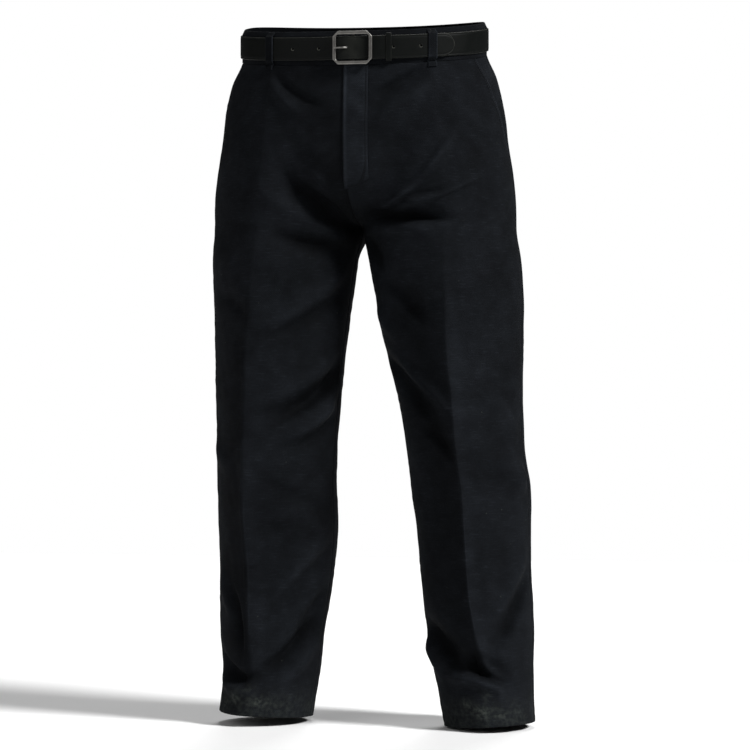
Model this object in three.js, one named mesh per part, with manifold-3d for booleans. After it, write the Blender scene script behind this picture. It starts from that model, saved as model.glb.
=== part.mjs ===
// Dress trousers with their belt, worn and hollow, with no wearer.
// Millimetres, +Z up. The front faces -Y and the wearer's left is +X.
// The origin is the middle of the waist, on the belt's centre line.

import * as THREE from "three";
import { mergeVertices } from "three/addons/utils/BufferGeometryUtils.js";
import Module from "manifold-3d";

const wasm = await Module();
wasm.setup();

// Cloth and gaps
const CLOTH = 1.4; // thickness of the trouser cloth
const BAND_CLOTH = 2.0; // the waistband is folded double
const LAYER_GAP = 0.3; // between pieces that lie on each other
const SEAM_INSET = 0.0007; // share of a panel's width left free at each seam, about 0.15 mm
const SEAM_GAP = 0.3;
const BAND_PROUD = 0.6; // the waistband stands this far out from the panels' face

// Heights, from the belt line down
const BAND_TOP = 26;
const BAND_BOTTOM = -24;
const CROTCH = -275;
const HEM = { left: -1018, right: -1010 };
const WAIST_TILT = 0.17; // rise of the waist per mm towards the back
const WAIST_DIP = { from: 20, bend: 0.00104 }; // the rise levels off behind this line
const TILT_ENDS = -240; // the tilt fades out down to this height
const HEM_BLEND = 60; // length above the hem over which its slant begins
const HEM_SLANT = { outward: 0.055, backward: -0.03 };

const OVAL = 0.87; // power of the cosine and sine in the hips' oval: 1 is an ellipse, less is squarer
const SIDE_LINE = 8; // the widest line lies this far behind the origin
const RISE = { front: 75, back: 130 }; // height over which the centre seams curve under

const HIP_ROWS = [
  { z: 0, half: 184, front: 120, back: 112, creaseX: 120, dartX: 95 },
  { z: -24, half: 184.8, front: 120.5, back: 113, creaseX: 121, dartX: 96 },
  { z: -55, half: 198.5, front: 123.5, back: 121, creaseX: 123, dartX: 98 },
  { z: -79, half: 205, front: 125.5, back: 130, creaseX: 125, dartX: 101 },
  { z: -112, half: 212, front: 127, back: 140, creaseX: 129, dartX: 104 },
  { z: -152, half: 217, front: 126.5, back: 148, creaseX: 133, dartX: 107 },
  { z: -197, half: 224.5, front: 123, back: 149, creaseX: 136, dartX: 109 },
  { z: -237, half: 229.5, front: 118, back: 143, creaseX: 139, dartX: 110 },
  { z: CROTCH, half: 231, front: 113, back: 133, creaseX: 141, dartX: 111 },
  { z: -345, half: 233, front: 109, back: 120, creaseX: 141, dartX: 111 },
];
const HIP_BLEND = { top: -67, bottom: -345, seamTop: -175 }; // where hips turn into legs

// A leg's section is a loop: centre, half width, reach to the front and back creases, toe-out in
// degrees, and how pointed the creases are (1 is a plain ellipse). Outward is positive on both legs.
const SEAM_TURN = 8; // degrees that the side seam lies forward of the loop's axis, and the inseam back
const CROTCH_LOOP = { z: CROTCH, x: 0, y: 12, half: 114.6, front: 122, back: 120, turn: 14, point: 1.06 };
const LEG_ROWS = {
  left: [
    { z: -325, x: 122.5, y: 8, half: 114, front: 116, back: 113, turn: 9, point: 1.12 },
    { z: -387, x: 131.5, y: 3, half: 110, front: 109, back: 106, turn: 6, point: 1.2 },
    { z: -457, x: 138.5, y: -1, half: 103, front: 102, back: 99, turn: 4, point: 1.28 },
    { z: -527, x: 148, y: -4, half: 93.5, front: 95, back: 93, turn: 3, point: 1.34 },
    { z: -607, x: 155.5, y: 0, half: 88.5, front: 89, back: 90, turn: 2, point: 1.38 },
    { z: -662, x: 162, y: 6, half: 89.5, front: 86, back: 92, turn: 2, point: 1.38 },
    { z: -717, x: 165, y: 13, half: 86, front: 84, back: 92, turn: 2, point: 1.38 },
    { z: -797, x: 168, y: 20, half: 83, front: 82, back: 88, turn: 2, point: 1.38 },
    { z: -887, x: 173.5, y: 26, half: 80.5, front: 81, back: 84, turn: 3, point: 1.34 },
    { z: -942, x: 178.5, y: 27, half: 74, front: 82, back: 82, turn: 4, point: 1.3 },
    { z: -1017, x: 188.5, y: 22, half: 67.5, front: 87, back: 81, turn: 5, point: 1.22 },
  ],
  right: [
    { z: -325, x: 120.5, y: 8, half: 111, front: 116, back: 113, turn: 16, point: 1.12 },
    { z: -387, x: 123.8, y: 3, half: 107.3, front: 108, back: 105, turn: 17, point: 1.2 },
    { z: -457, x: 127, y: -1, half: 103, front: 101, back: 98, turn: 19, point: 1.28 },
    { z: -527, x: 129.8, y: -4, half: 100.2, front: 94, back: 92, turn: 20, point: 1.34 },
    { z: -607, x: 133, y: 0, half: 97.3, front: 89, back: 89, turn: 22, point: 1.38 },
    { z: -662, x: 135.6, y: 6, half: 96.5, front: 87, back: 91, turn: 23, point: 1.38 },
    { z: -717, x: 135.8, y: 13, half: 97, front: 86, back: 92, turn: 23, point: 1.38 },
    { z: -797, x: 139.3, y: 20, half: 91.5, front: 83, back: 88, turn: 20, point: 1.38 },
    { z: -887, x: 147.3, y: 26, half: 81.8, front: 81, back: 84, turn: 17, point: 1.34 },
    { z: -942, x: 148, y: 27, half: 74.3, front: 81, back: 82, turn: 16, point: 1.3 },
    { z: -1017, x: 156, y: 22, half: 68.5, front: 86, back: 81, turn: 17, point: 1.22 },
  ],
};

// Largest folds. Each runs from (u0, z0) to (u1, z1) on its panel, where u is 0 at the side seam,
// 0.5 on the crease and 1 at the inner edge. Height is out from the body, so a trough is negative.
const FOLDS = [
  { side: "right", panel: "front", u0: 0.6, z0: -172, u1: 0.97, z1: -255, width: 17, height: -6 },
  { side: "left", panel: "front", u0: 0.95, z0: -240, u1: 0.55, z1: -185, width: 16, height: -5 },
];
const PANEL_SPAN = 270; // mm that u from 0 to 1 stands for where a fold's width is measured

// Slant pocket, fly and zip
const POCKET = { topU: 0.165, bottom: -175 };
const FACING_SUNK = 0.7; // share of the way to the mouth by which the facing lies under the panel
const FLY = { overlap: 3.5, width: 33, bottom: -223, corner: -207 };
const FLY_LIFT = 0.5; // the flap lies this far out from the front panels
const ZIP = { half: 12, bottom: -190, gap: 1, tape: 1.2, chainHalf: 3, chain: 2.4, step: 0.5 };

// Belt, in mm round the waist from the centre front towards the wearer's left, and mm out from the
// waistband's face
const STRAP = { width: 34, thick: 2.4 };
const ON_BAND = 1.6; // how far out the strap's middle line lies where the strap lies on the waistband
const OVER = 2.7; // the strap's thickness and the gap to what it lies on
const BUCKLE = {
  at: 11.3,
  width: 59,
  height: 49,
  bar: 5.2,
  thick: 3.2,
  out: 8.7,
  chamfer: 8,
  corner: 4,
  middleBar: { width: 4, thick: 1.6, out: 3.1, legWidth: 2.6 },
};
// The prong's middle line, in mm round the waist from the buckle's middle and out from the waistband
const PRONG = {
  thick: 2.2,
  width: 3,
  hub: 3.4,
  hubHalf: 2.25,
  line: [[-2.9, 4.4], [-5.1, 5.6], [-10.8, 11.6], [-16.3, 13.35], [-27.5, 13.35]],
};
const HOLES = [-81.5, -40, 70, 109];
const HOLE_RADIUS = 1.9;
const RING_STEPS = 22; // straight steps of the waist's ring along each panel
const KEEPER = { at: 63, width: 8, height: 42, wall: 1.2, back: 0.4, inside: 5.9 };
const TIP = 160;
const LOOP = { width: 13, thick: 1.5, bottom: -31, grip: 19.6 }; // grip: half the height that stands clear
const LOOPS = [
  { name: "belt_loop_front_left", at: 126 },
  { name: "belt_loop_side_left", at: 300 },
  { name: "belt_loop_back", at: "back" },
  { name: "belt_loop_side_right", at: -300 },
  { name: "belt_loop_front_right", at: -122 },
];

// Colours and finish
const FINISH = {
  cloth: { color: 0x1a1c20, roughness: 0.92, metalness: 0 },
  band: { color: 0x1b1d21, roughness: 0.9, metalness: 0 },
  leather: { color: 0x1d1e1c, roughness: 0.55, metalness: 0 },
  steel: { color: 0x6f6f6d, roughness: 0.38, metalness: 1 },
  zip: { color: 0x202124, roughness: 0.7, metalness: 0 },
};

const rad = THREE.MathUtils.degToRad;
const lerp = THREE.MathUtils.lerp;
const smooth = (t) => THREE.MathUtils.smoothstep(t, 0, 1);
const power = (value, exponent) => Math.sign(value) * Math.abs(value) ** exponent;

// A table's row at a height, each column on a smooth curve through the rows' values that sets out
// level from the first row.
function rowAt(rows, z) {
  const last = rows.length - 1;
  let i = rows.findIndex((row, n) => n < last && z >= rows[n + 1].z);
  if (i < 0) i = last - 1;
  const slope = (key, n) => {
    if (n === 0) return 0;
    const above = rows[Math.max(n - 1, 0)];
    const below = rows[Math.min(n + 1, last)];
    return (below[key] - above[key]) / (below.z - above.z);
  };
  const span = rows[i + 1].z - rows[i].z;
  const t = (z - rows[i].z) / span;
  const out = {};
  for (const key of Object.keys(rows[i])) {
    const a = (2 * t ** 3 - 3 * t ** 2 + 1) * rows[i][key] + (3 * t ** 2 - 2 * t ** 3) * rows[i + 1][key];
    const b = (t ** 3 - 2 * t ** 2 + t) * slope(key, i) + (t ** 3 - t ** 2) * slope(key, i + 1);
    out[key] = a + b * span;
  }
  return out;
}

// A point of a leg's loop. The angle is 0 on the outer side, 90 at the front crease, 180 inside.
function loopPoint(row, panel, u) {
  const toward = panel === "front" ? 1 : -1;
  const quarter = toward * 90;
  const angle = rad(
    u < 0.5 ? lerp(SEAM_TURN, quarter, 2 * u) : lerp(quarter, 2 * quarter + SEAM_TURN, 2 * u - 1),
  );
  const reach = Math.sin(angle) > 0 ? row.front : row.back;
  const x = row.half * power(Math.cos(angle), row.point);
  const y = -reach * Math.sin(angle);
  const turn = rad(row.turn);
  return [
    row.x + x * Math.cos(turn) - y * Math.sin(turn),
    row.y + x * Math.sin(turn) + y * Math.cos(turn),
  ];
}
CROTCH_LOOP.x = -loopPoint(CROTCH_LOOP, "front", 1)[0]; // so that the two loops meet at x = 0
const LEG = {
  left: [CROTCH_LOOP, ...LEG_ROWS.left],
  right: [CROTCH_LOOP, ...LEG_ROWS.right],
};

// A point of the hips' and waist's oval.
function ovalPoint(row, panel, u) {
  const front = panel === "front";
  const reach = front ? row.front + SIDE_LINE : row.back - SIDE_LINE;
  const creaseX = front ? row.creaseX : row.dartX;
  const crease = Math.acos((creaseX / row.half) ** (1 / OVAL));
  const angle = u < 0.5 ? lerp(0, crease, 2 * u) : lerp(crease, Math.PI / 2, 2 * u - 1);
  const x = row.half * power(Math.cos(angle), OVAL);
  const y = reach * power(Math.sin(angle), OVAL);
  return [x, SIDE_LINE + (front ? -y : y)];
}

// A panel's section, before tilt and folds. The hips' oval turns into the two loops of the legs:
// slowly on the outer half, and along a quarter ellipse at the centre seam, which curves under.
const CROTCH_ROW = rowAt(HIP_ROWS, CROTCH);
function sectionPoint(side, panel, u, z) {
  const inward = smooth(2 * u - 1);
  const bottom = lerp(HIP_BLEND.bottom, CROTCH, inward);
  if (z <= bottom) return loopPoint(rowAt(LEG[side], z), panel, u);
  const row = rowAt(HIP_ROWS, Math.min(z, 0));
  const [ovalX, ovalY] = ovalPoint(row, panel, u);
  const loop = loopPoint(z > CROTCH ? CROTCH_LOOP : rowAt(LEG[side], z), panel, u);
  const depth = loop[1] < 0 ? "front" : "back";
  const grow = (key) => (z > CROTCH ? row[key] / CROTCH_ROW[key] : 1);
  const top = lerp(HIP_BLEND.top, HIP_BLEND.seamTop, inward);
  const outer = smooth((z - top) / (bottom - top));
  const rise = THREE.MathUtils.clamp((z - CROTCH) / RISE[panel], 0, 1);
  const inner = 1 - Math.sqrt(1 - (1 - rise) ** 2);
  const share = lerp(outer, inner, inward ** 2);
  return [lerp(ovalX, loop[0] * grow("half"), share), lerp(ovalY, loop[1] * grow(depth), share)];
}

const waistRise = (y) => WAIST_TILT * y - WAIST_DIP.bend * Math.max(0, y - WAIST_DIP.from) ** 2;

// The cloth's outer face before folds: the section with the waist's tilt and the hem's slant.
function bodyPoint(side, panel, u, z) {
  const [x, y] = sectionPoint(side, panel, u, z);
  const tilt = THREE.MathUtils.clamp((z - TILT_ENDS) / (BAND_BOTTOM - TILT_ENDS), 0, 1);
  const nearHem = smooth((HEM[side] + HEM_BLEND - z) / HEM_BLEND);
  const middle = LEG[side][LEG[side].length - 1];
  const slant = HEM_SLANT.outward * (x - middle.x) + HEM_SLANT.backward * (y - middle.y);
  return new THREE.Vector3(side === "left" ? x : -x, y, z + tilt * waistRise(y) + nearHem * slant);
}

function bodyNormal(side, panel, u, z) {
  const step = 0.01;
  const across = bodyPoint(side, panel, Math.min(u + step, 1), z).sub(
    bodyPoint(side, panel, Math.max(u - step, 0), z),
  );
  const down = bodyPoint(side, panel, u, z - 2).sub(bodyPoint(side, panel, u, z + 2));
  const normal = across.cross(down).normalize();
  return (side === "left") === (panel === "front") ? normal : normal.negate();
}

// Height of all folds at a point: a soft ridge or trough with a rounded section and tapered ends.
function foldHeight(side, panel, u, z) {
  let height = 0;
  for (const fold of FOLDS) {
    if (fold.side !== side || fold.panel !== panel) continue;
    const alongU = (fold.u1 - fold.u0) * PANEL_SPAN;
    const alongZ = fold.z1 - fold.z0;
    const length2 = alongU ** 2 + alongZ ** 2;
    const fromU = (u - fold.u0) * PANEL_SPAN;
    const fromZ = z - fold.z0;
    const t = (fromU * alongU + fromZ * alongZ) / length2;
    const off = (fromU * alongZ - fromZ * alongU) / Math.sqrt(length2);
    const taper = smooth(1.25 - Math.abs(2 * t - 1) * 1.25);
    height += fold.height * taper * Math.exp(-((off / fold.width) ** 2));
  }
  return height;
}

// A point of the cloth, a distance out from its outer face.
function clothPoint(side, panel, u, z, lift) {
  const normal = bodyNormal(side, panel, u, z);
  const out = foldHeight(side, panel, u, z) + lift;
  return bodyPoint(side, panel, u, z).addScaledVector(normal, out);
}

// A closed wall from a grid: point(i, j, face) gives the outer face's point for face 1 and the
// inner face's for face 0. The faces are turned to point outwards.
function wallGeometry(rows, columns, point) {
  const positions = [];
  for (const face of [1, 0])
    for (let i = 0; i < rows; i++)
      for (let j = 0; j < columns; j++) positions.push(...point(i, j, face).toArray());
  const at = (i, j, face) => (face ? 0 : rows * columns) + i * columns + j;
  const index = [];
  const quad = (a, b, c, d) => index.push(a, b, c, a, c, d);
  for (let i = 0; i < rows - 1; i++)
    for (let j = 0; j < columns - 1; j++) {
      quad(at(i, j, 1), at(i, j + 1, 1), at(i + 1, j + 1, 1), at(i + 1, j, 1));
      quad(at(i, j, 0), at(i + 1, j, 0), at(i + 1, j + 1, 0), at(i, j + 1, 0));
    }
  for (let j = 0; j < columns - 1; j++) {
    quad(at(0, j, 0), at(0, j + 1, 0), at(0, j + 1, 1), at(0, j, 1));
    quad(at(rows - 1, j, 1), at(rows - 1, j + 1, 1), at(rows - 1, j + 1, 0), at(rows - 1, j, 0));
  }
  const end = columns - 1;
  for (let i = 0; i < rows - 1; i++) {
    quad(at(i, 0, 1), at(i + 1, 0, 1), at(i + 1, 0, 0), at(i, 0, 0));
    quad(at(i, end, 0), at(i + 1, end, 0), at(i + 1, end, 1), at(i, end, 1));
  }
  const geometry = new THREE.BufferGeometry();
  geometry.setAttribute("position", new THREE.Float32BufferAttribute(positions, 3));
  geometry.setIndex(index);
  if (signedVolume(geometry) < 0) {
    for (let k = 0; k < index.length; k += 3) [index[k], index[k + 1]] = [index[k + 1], index[k]];
    geometry.setIndex(index);
  }
  geometry.computeVertexNormals();
  return geometry;
}

function signedVolume(geometry) {
  const points = geometry.getAttribute("position");
  const index = geometry.index.array;
  const corner = (n) => new THREE.Vector3().fromBufferAttribute(points, index[n]);
  let volume = 0;
  for (let k = 0; k < index.length; k += 3)
    volume += corner(k).dot(corner(k + 1).cross(corner(k + 2))) / 6;
  return volume;
}

function piece(name, geometry, finish) {
  const mesh = new THREE.Mesh(geometry, new THREE.MeshStandardMaterial(finish));
  mesh.name = name;
  return mesh;
}

const evenly = (count, from, to) =>
  Array.from({ length: count }, (_, i) => lerp(from, to, i / (count - 1)));

// Heights of the rows of a panel: even down to the rise, closer where the centre seam curves
// under, then even down the leg.
function panelHeights(side) {
  const top = [BAND_BOTTOM - SEAM_GAP, LOOP.bottom, -42, -58, ...evenly(6, -80, POCKET.bottom)];
  const rise = evenly(8, 1, 0).map((t) => CROTCH + RISE.front * (1 - Math.cos((t * Math.PI) / 2)));
  const leg = evenly(24, CROTCH - 45, HEM[side]);
  return [...top, ...rise, CROTCH - 10, CROTCH - 25, ...leg];
}

// Columns lie closer together near the crease.
const PANEL_COLUMNS = evenly(15, -1, 1).map((s) => 0.5 + 0.5 * power(s, 1.25));

// Where a slant pocket's mouth crosses a front panel, as u.
function pocketMouth(z) {
  const share = THREE.MathUtils.clamp((z - POCKET.bottom) / (BAND_BOTTOM - POCKET.bottom), 0, 1);
  return POCKET.topU * share;
}

// One of the four main panels. The inner edge stays on its own side of the centre.
function panelGeometry(side, panel) {
  const heights = panelHeights(side);
  return wallGeometry(heights.length, PANEL_COLUMNS.length, (i, j, face) => {
    const z = heights[i];
    const edge = (panel === "front" ? pocketMouth(z) : 0) + SEAM_INSET;
    const column = PANEL_COLUMNS[j];
    const u = column < 0.5 ? lerp(edge, 0.5, 2 * column) : lerp(0.5, 1 - SEAM_INSET, 2 * column - 1);
    const point = clothPoint(side, panel, u, z, face ? 0 : -CLOTH);
    point.x = side === "left" ? Math.max(point.x, SEAM_GAP / 2) : Math.min(point.x, -SEAM_GAP / 2);
    return point;
  });
}

// The piece under a pocket's mouth: flush at the side seam, and under the front panel past the
// mouth, where it has the panel's own rows and columns.
function facingGeometry(side) {
  const heights = [...panelHeights(side).filter((z) => z > POCKET.bottom + 5), POCKET.bottom + 2];
  const shares = [0, 0.35, 0.7, 1];
  return wallGeometry(heights.length, shares.length + 2, (i, j, face) => {
    const z = heights[i];
    const mouth = pocketMouth(z) + SEAM_INSET;
    const past = j >= shares.length;
    const u = past
      ? lerp(mouth, 0.5, 2 * PANEL_COLUMNS[j - shares.length + 1])
      : lerp(SEAM_INSET, mouth, shares[j]);
    const under = (CLOTH + LAYER_GAP) * (past ? 1 : smooth(shares[j] / FACING_SUNK));
    return clothPoint(side, "front", u, z, -under - (face ? 0 : CLOTH));
  });
}

// u of the front panel at a distance from the centre front, found by halving.
function frontU(z, distance) {
  let low = 0.5;
  let high = 1;
  for (let n = 0; n < 30; n++) {
    const middle = (low + high) / 2;
    if (sectionPoint("left", "front", middle, z)[0] > distance) low = middle;
    else high = middle;
  }
  return low;
}

// A point over or under the fly, a signed distance from the centre front towards the wearer's left.
function flyPoint(distance, z, lift) {
  const side = distance < 0 ? "right" : "left";
  return clothPoint(side, "front", frontU(z, Math.abs(distance)), z, lift);
}

// The fly's flap: its free edge laps over the centre, and its lower end slants up to the stitching.
function flyFlapGeometry() {
  const shares = evenly(15, 0, 1);
  const distances = [-FLY.overlap, -0.6, 0.6, 8, 16, 24.5, FLY.width];
  return wallGeometry(shares.length, distances.length, (i, j, face) => {
    const distance = distances[j];
    const across = (distance + FLY.overlap) / (FLY.width + FLY.overlap);
    const bottom = lerp(FLY.bottom, FLY.corner, across ** 1.5);
    const z = lerp(BAND_BOTTOM - SEAM_GAP, bottom, shares[i]);
    return flyPoint(distance, z, FLY_LIFT + (face ? CLOTH : 0));
  });
}

// The closed zip, behind the front panels: two tapes and a thicker chain of teeth.
function zipGeometry() {
  const heights = evenly(12, BAND_BOTTOM - 2, ZIP.bottom);
  const half = [ZIP.chainHalf, ZIP.chainHalf + ZIP.step, ZIP.half];
  const distances = [...half.map((distance) => -distance).reverse(), ...half];
  return wallGeometry(heights.length, distances.length, (i, j, face) => {
    const chain = Math.abs(distances[j]) <= ZIP.chainHalf;
    const depth = face ? 0 : chain ? ZIP.chain : ZIP.tape;
    return flyPoint(distances[j], heights[i], -CLOTH - ZIP.gap - depth);
  });
}

// The waistband's face at the belt line, as a ring of straight steps: distance round it from the
// centre front, positive towards the wearer's left, with the place, and the panel and u there.
function waistRing() {
  const ring = [];
  const add = (side, panel, u) => {
    const [x, y] = sectionPoint(side, panel, u, 0);
    ring.push({ side, panel, u, x: side === "left" ? x : -x, y });
  };
  const steps = evenly(RING_STEPS + 1, 0, 1);
  for (const u of steps.slice().reverse()) add("left", "front", u);
  for (const u of steps.slice(1)) add("left", "back", u);
  for (const u of steps.slice(0, -1).reverse()) add("right", "back", u);
  for (const u of steps.slice(1)) add("right", "front", u);
  let at = 0;
  ring.forEach((spot, n) => {
    if (n) at += Math.hypot(spot.x - ring[n - 1].x, spot.y - ring[n - 1].y);
    spot.at = at;
  });
  return { ring, length: at };
}
const WAIST = waistRing();

// Half of the waistband, from the centre front round the side to the centre back, with the ring's
// own steps. It is upright behind the strap and leans in above it.
const BAND_PROFILE = [
  { z: BAND_TOP, out: -3.5 },
  { z: 19, out: -0.2 },
  { z: 17.8, out: 0 },
  { z: -18, out: 0 },
  { z: BAND_BOTTOM, out: 0 },
];
function waistbandGeometry(side) {
  const steps = 2 * RING_STEPS;
  return wallGeometry(BAND_PROFILE.length, steps + 1, (i, j, face) => {
    const { at } = WAIST.ring[side === "left" ? j : WAIST.ring.length - 1 - j];
    const point = waistPoint(at, BAND_PROFILE[i].out - (face ? 0 : BAND_CLOTH), BAND_PROFILE[i].z);
    const seam = j === 0 || j === steps ? SEAM_GAP / 2 : 0;
    if (seam) point.x = side === "left" ? seam : -seam;
    return point;
  });
}

function ringSpot(at) {
  const wrapped = THREE.MathUtils.euclideanModulo(at, WAIST.length);
  const n = Math.max(1, WAIST.ring.findIndex((spot) => spot.at >= wrapped));
  const before = WAIST.ring[n - 1];
  const after = WAIST.ring[n];
  const t = (wrapped - before.at) / (after.at - before.at);
  const samePanel = before.panel === after.panel && before.side === after.side;
  return {
    side: after.side,
    panel: after.panel,
    u: samePanel ? lerp(before.u, after.u, t) : after.u,
    x: lerp(before.x, after.x, t),
    y: lerp(before.y, after.y, t),
  };
}

// A point at a distance round the waist, out from the waistband's face, and up from the belt line.
// The strap stands straight, so its upper and lower edges are level across it.
function waistPoint(at, out, up) {
  const step = 3;
  const before = ringSpot(at - step);
  const after = ringSpot(at + step);
  const here = ringSpot(at);
  const normal = new THREE.Vector2(after.y - before.y, before.x - after.x).normalize();
  const face = out + BAND_PROUD;
  return new THREE.Vector3(here.x + normal.x * face, here.y + normal.y * face, up + waistRise(here.y));
}

// A strip's solid: its middle line is a list of {at, out}, and it is as wide as the strap.
function stripGeometry(line, width, thick) {
  const curve = new THREE.CatmullRomCurve3(
    line.map(({ at, out }) => new THREE.Vector3(at, out, 0)),
    false,
    "centripetal",
  );
  const lines = [1, 0].map((face) =>
    line.map((spot, n) => {
      const tangent = curve.getTangent(n / (line.length - 1));
      const lift = (face - 0.5) * thick;
      const half = spot.half ?? width / 2;
      return { at: spot.at - tangent.y * lift, out: spot.out + tangent.x * lift, half };
    }),
  );
  return wallGeometry(line.length, 2, (i, j, face) => {
    const { at, out, half } = lines[face ? 0 : 1][i];
    return waistPoint(at, out, j ? half : -half);
  });
}

// The strap's middle line. It starts as a fold round the buckle's middle bar, lies on itself as far
// as the keeper, goes once round the waist, passes over the bar, and ends in the round tip.
const STRAP_KNOTS = [
  { at: 51, out: ON_BAND },
  { at: 32, out: ON_BAND },
  { at: 17, out: ON_BAND },
  { at: 9.3, out: ON_BAND },
  { at: 7.7, out: 2.27 },
  { at: 7, out: 3.9 },
  { at: 7.7, out: 5.53 },
  { at: 9.3, out: 6.2 },
  { at: 15, out: 6.1 },
  { at: 25, out: 5.2 },
  { at: 38, out: 4.4 },
  { at: 49, out: 4.3 },
  { at: 57, out: 3.6 },
  { at: 68, out: 3.2 },
  { at: 80, out: 2.2 },
  { at: 95, out: ON_BAND },
];
const STRAP_END_KNOTS = [
  { at: -60, out: ON_BAND },
  { at: -40, out: 2.6 },
  { at: -25, out: 5 },
  { at: -15, out: 7 },
  { at: -3, out: 8.4 },
  { at: 11, out: 8.9 },
  { at: 23, out: 8.1 },
  { at: 37, out: 7.1 },
  { at: 49, out: 7 },
  { at: 58, out: 6.4 },
  { at: 68, out: 5.9 },
  { at: 80, out: 4.9 },
  { at: 95, out: ON_BAND + OVER },
];
const TIP_ROUND = 20; // length of the rounded tip
const TIP_NARROWEST = 0.08; // share of the round at which the tip is cut blunt

function strapLine() {
  const turn = WAIST.length;
  const free = WAIST.ring.filter(({ at }) => at > 100 && at < turn - 66);
  const round = free.map(({ at }) => ({ at, out: ON_BAND }));
  const over = STRAP_END_KNOTS.map(({ at, out }) => ({ at: at + turn, out }));
  const out = ON_BAND + OVER;
  const end = evenly(7, 107, TIP - TIP_ROUND).map((at) => ({ at: at + turn, out }));
  const tip = evenly(7, 1, 0).slice(1).map((share) => {
    const across = Math.max(share, TIP_NARROWEST);
    const half = (STRAP.width / 2) * Math.sqrt(1 - (1 - across) ** 2);
    return { at: turn + TIP - TIP_ROUND * across, out, half };
  });
  return [...STRAP_KNOTS, ...round, ...over, ...end, ...tip];
}

// Solids from geometry and back, for cuts and joins.
function solidOf(geometry) {
  const plain = geometry.clone();
  plain.deleteAttribute("normal");
  plain.deleteAttribute("uv");
  const merged = mergeVertices(plain, 1e-4);
  return new wasm.Manifold(
    new wasm.Mesh({
      numProp: 3,
      vertProperties: merged.getAttribute("position").array,
      triVerts: Uint32Array.from(merged.index.array),
    }),
  );
}

function geometryOf(solid) {
  const { vertProperties, triVerts } = solid.getMesh();
  const geometry = new THREE.BufferGeometry();
  geometry.setAttribute("position", new THREE.BufferAttribute(Float32Array.from(vertProperties), 3));
  geometry.setIndex(Array.from(triVerts));
  geometry.computeVertexNormals();
  return geometry;
}

// A frame at a place round the waist: x round the waist, y up, z out from the waistband's face.
function frameAt(at) {
  const origin = waistPoint(at, 0, 0);
  const outward = waistPoint(at, 1, 0).sub(origin);
  const up = new THREE.Vector3(0, 0, 1);
  const round = new THREE.Vector3().crossVectors(up, outward);
  return new THREE.Matrix4().makeBasis(round, up, outward).setPosition(origin);
}

function boxAt(at, size, centre) {
  return new THREE.BoxGeometry(...size).translate(...centre).applyMatrix4(frameAt(at));
}

// The strap with its holes, the slot in its fold for the prong, and the slot the prong comes through.
function strapGeometry() {
  let strap = solidOf(stripGeometry(strapLine(), STRAP.width, STRAP.thick));
  const cut = (geometry) => {
    strap = strap.subtract(solidOf(geometry));
  };
  for (const at of HOLES) {
    const out = at > 0 ? ON_BAND + OVER + (at < 95 ? 1.3 : 0) : ON_BAND;
    const hole = new THREE.CylinderGeometry(HOLE_RADIUS, HOLE_RADIUS, at < 0 ? 8 : 3.2, 12);
    cut(hole.rotateX(Math.PI / 2).translate(0, 0, out).applyMatrix4(frameAt(at)));
  }
  cut(boxAt(BUCKLE.at, [19, PRONG.width + 1, 7.4], [1.5, 0, 3.9]));
  cut(boxAt(3, [6.8, PRONG.width + 0.8, 6], [0, 0, 9]));
  return geometryOf(strap);
}

const LEG_BITE = { along: 0.4, out: 0.5 }; // how far the middle bar's legs run into the frame

// The buckle: an eight-sided frame with a rounded opening, and a middle bar stepped in behind the strap.
function buckleGeometry() {
  const { width, height, bar, thick, out, chamfer, corner, middleBar } = BUCKLE;
  const [w, h] = [width / 2, height / 2];
  const outline = new THREE.Shape(
    [
      [w, h - chamfer], [w - chamfer, h], [chamfer - w, h], [-w, h - chamfer],
      [-w, chamfer - h], [chamfer - w, -h], [w - chamfer, -h], [w, chamfer - h],
    ].map(([x, y]) => new THREE.Vector2(x, y)),
  );
  const [iw, ih] = [w - bar, h - bar];
  const opening = new THREE.Path();
  for (const [cx, cy, from] of [[1, 1, 0], [-1, 1, 90], [-1, -1, 180], [1, -1, 270]])
    opening.absarc(cx * (iw - corner), cy * (ih - corner), corner, rad(from), rad(from + 90), false);
  opening.closePath();
  outline.holes.push(opening);
  const shape = { depth: thick, bevelEnabled: false, curveSegments: 5 };
  let solid = solidOf(new THREE.ExtrudeGeometry(outline, shape).translate(0, 0, out));
  const { width: barWidth, thick: barThick, out: barOut, legWidth } = middleBar;
  const reach = ih + bar / 2;
  const crossbar = new THREE.BoxGeometry(barWidth, 2 * reach, barThick);
  solid = solid.add(solidOf(crossbar.translate(0, 0, barOut + barThick / 2)));
  for (const end of [1, -1]) {
    const depth = bar / 2 + legWidth - LEG_BITE.along;
    const leg = new THREE.BoxGeometry(barWidth, depth, out - barOut + LEG_BITE.out);
    leg.translate(0, end * (reach - depth / 2), (out + barOut + LEG_BITE.out) / 2);
    solid = solid.add(solidOf(leg));
  }
  return geometryOf(solid).applyMatrix4(frameAt(BUCKLE.at));
}

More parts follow.
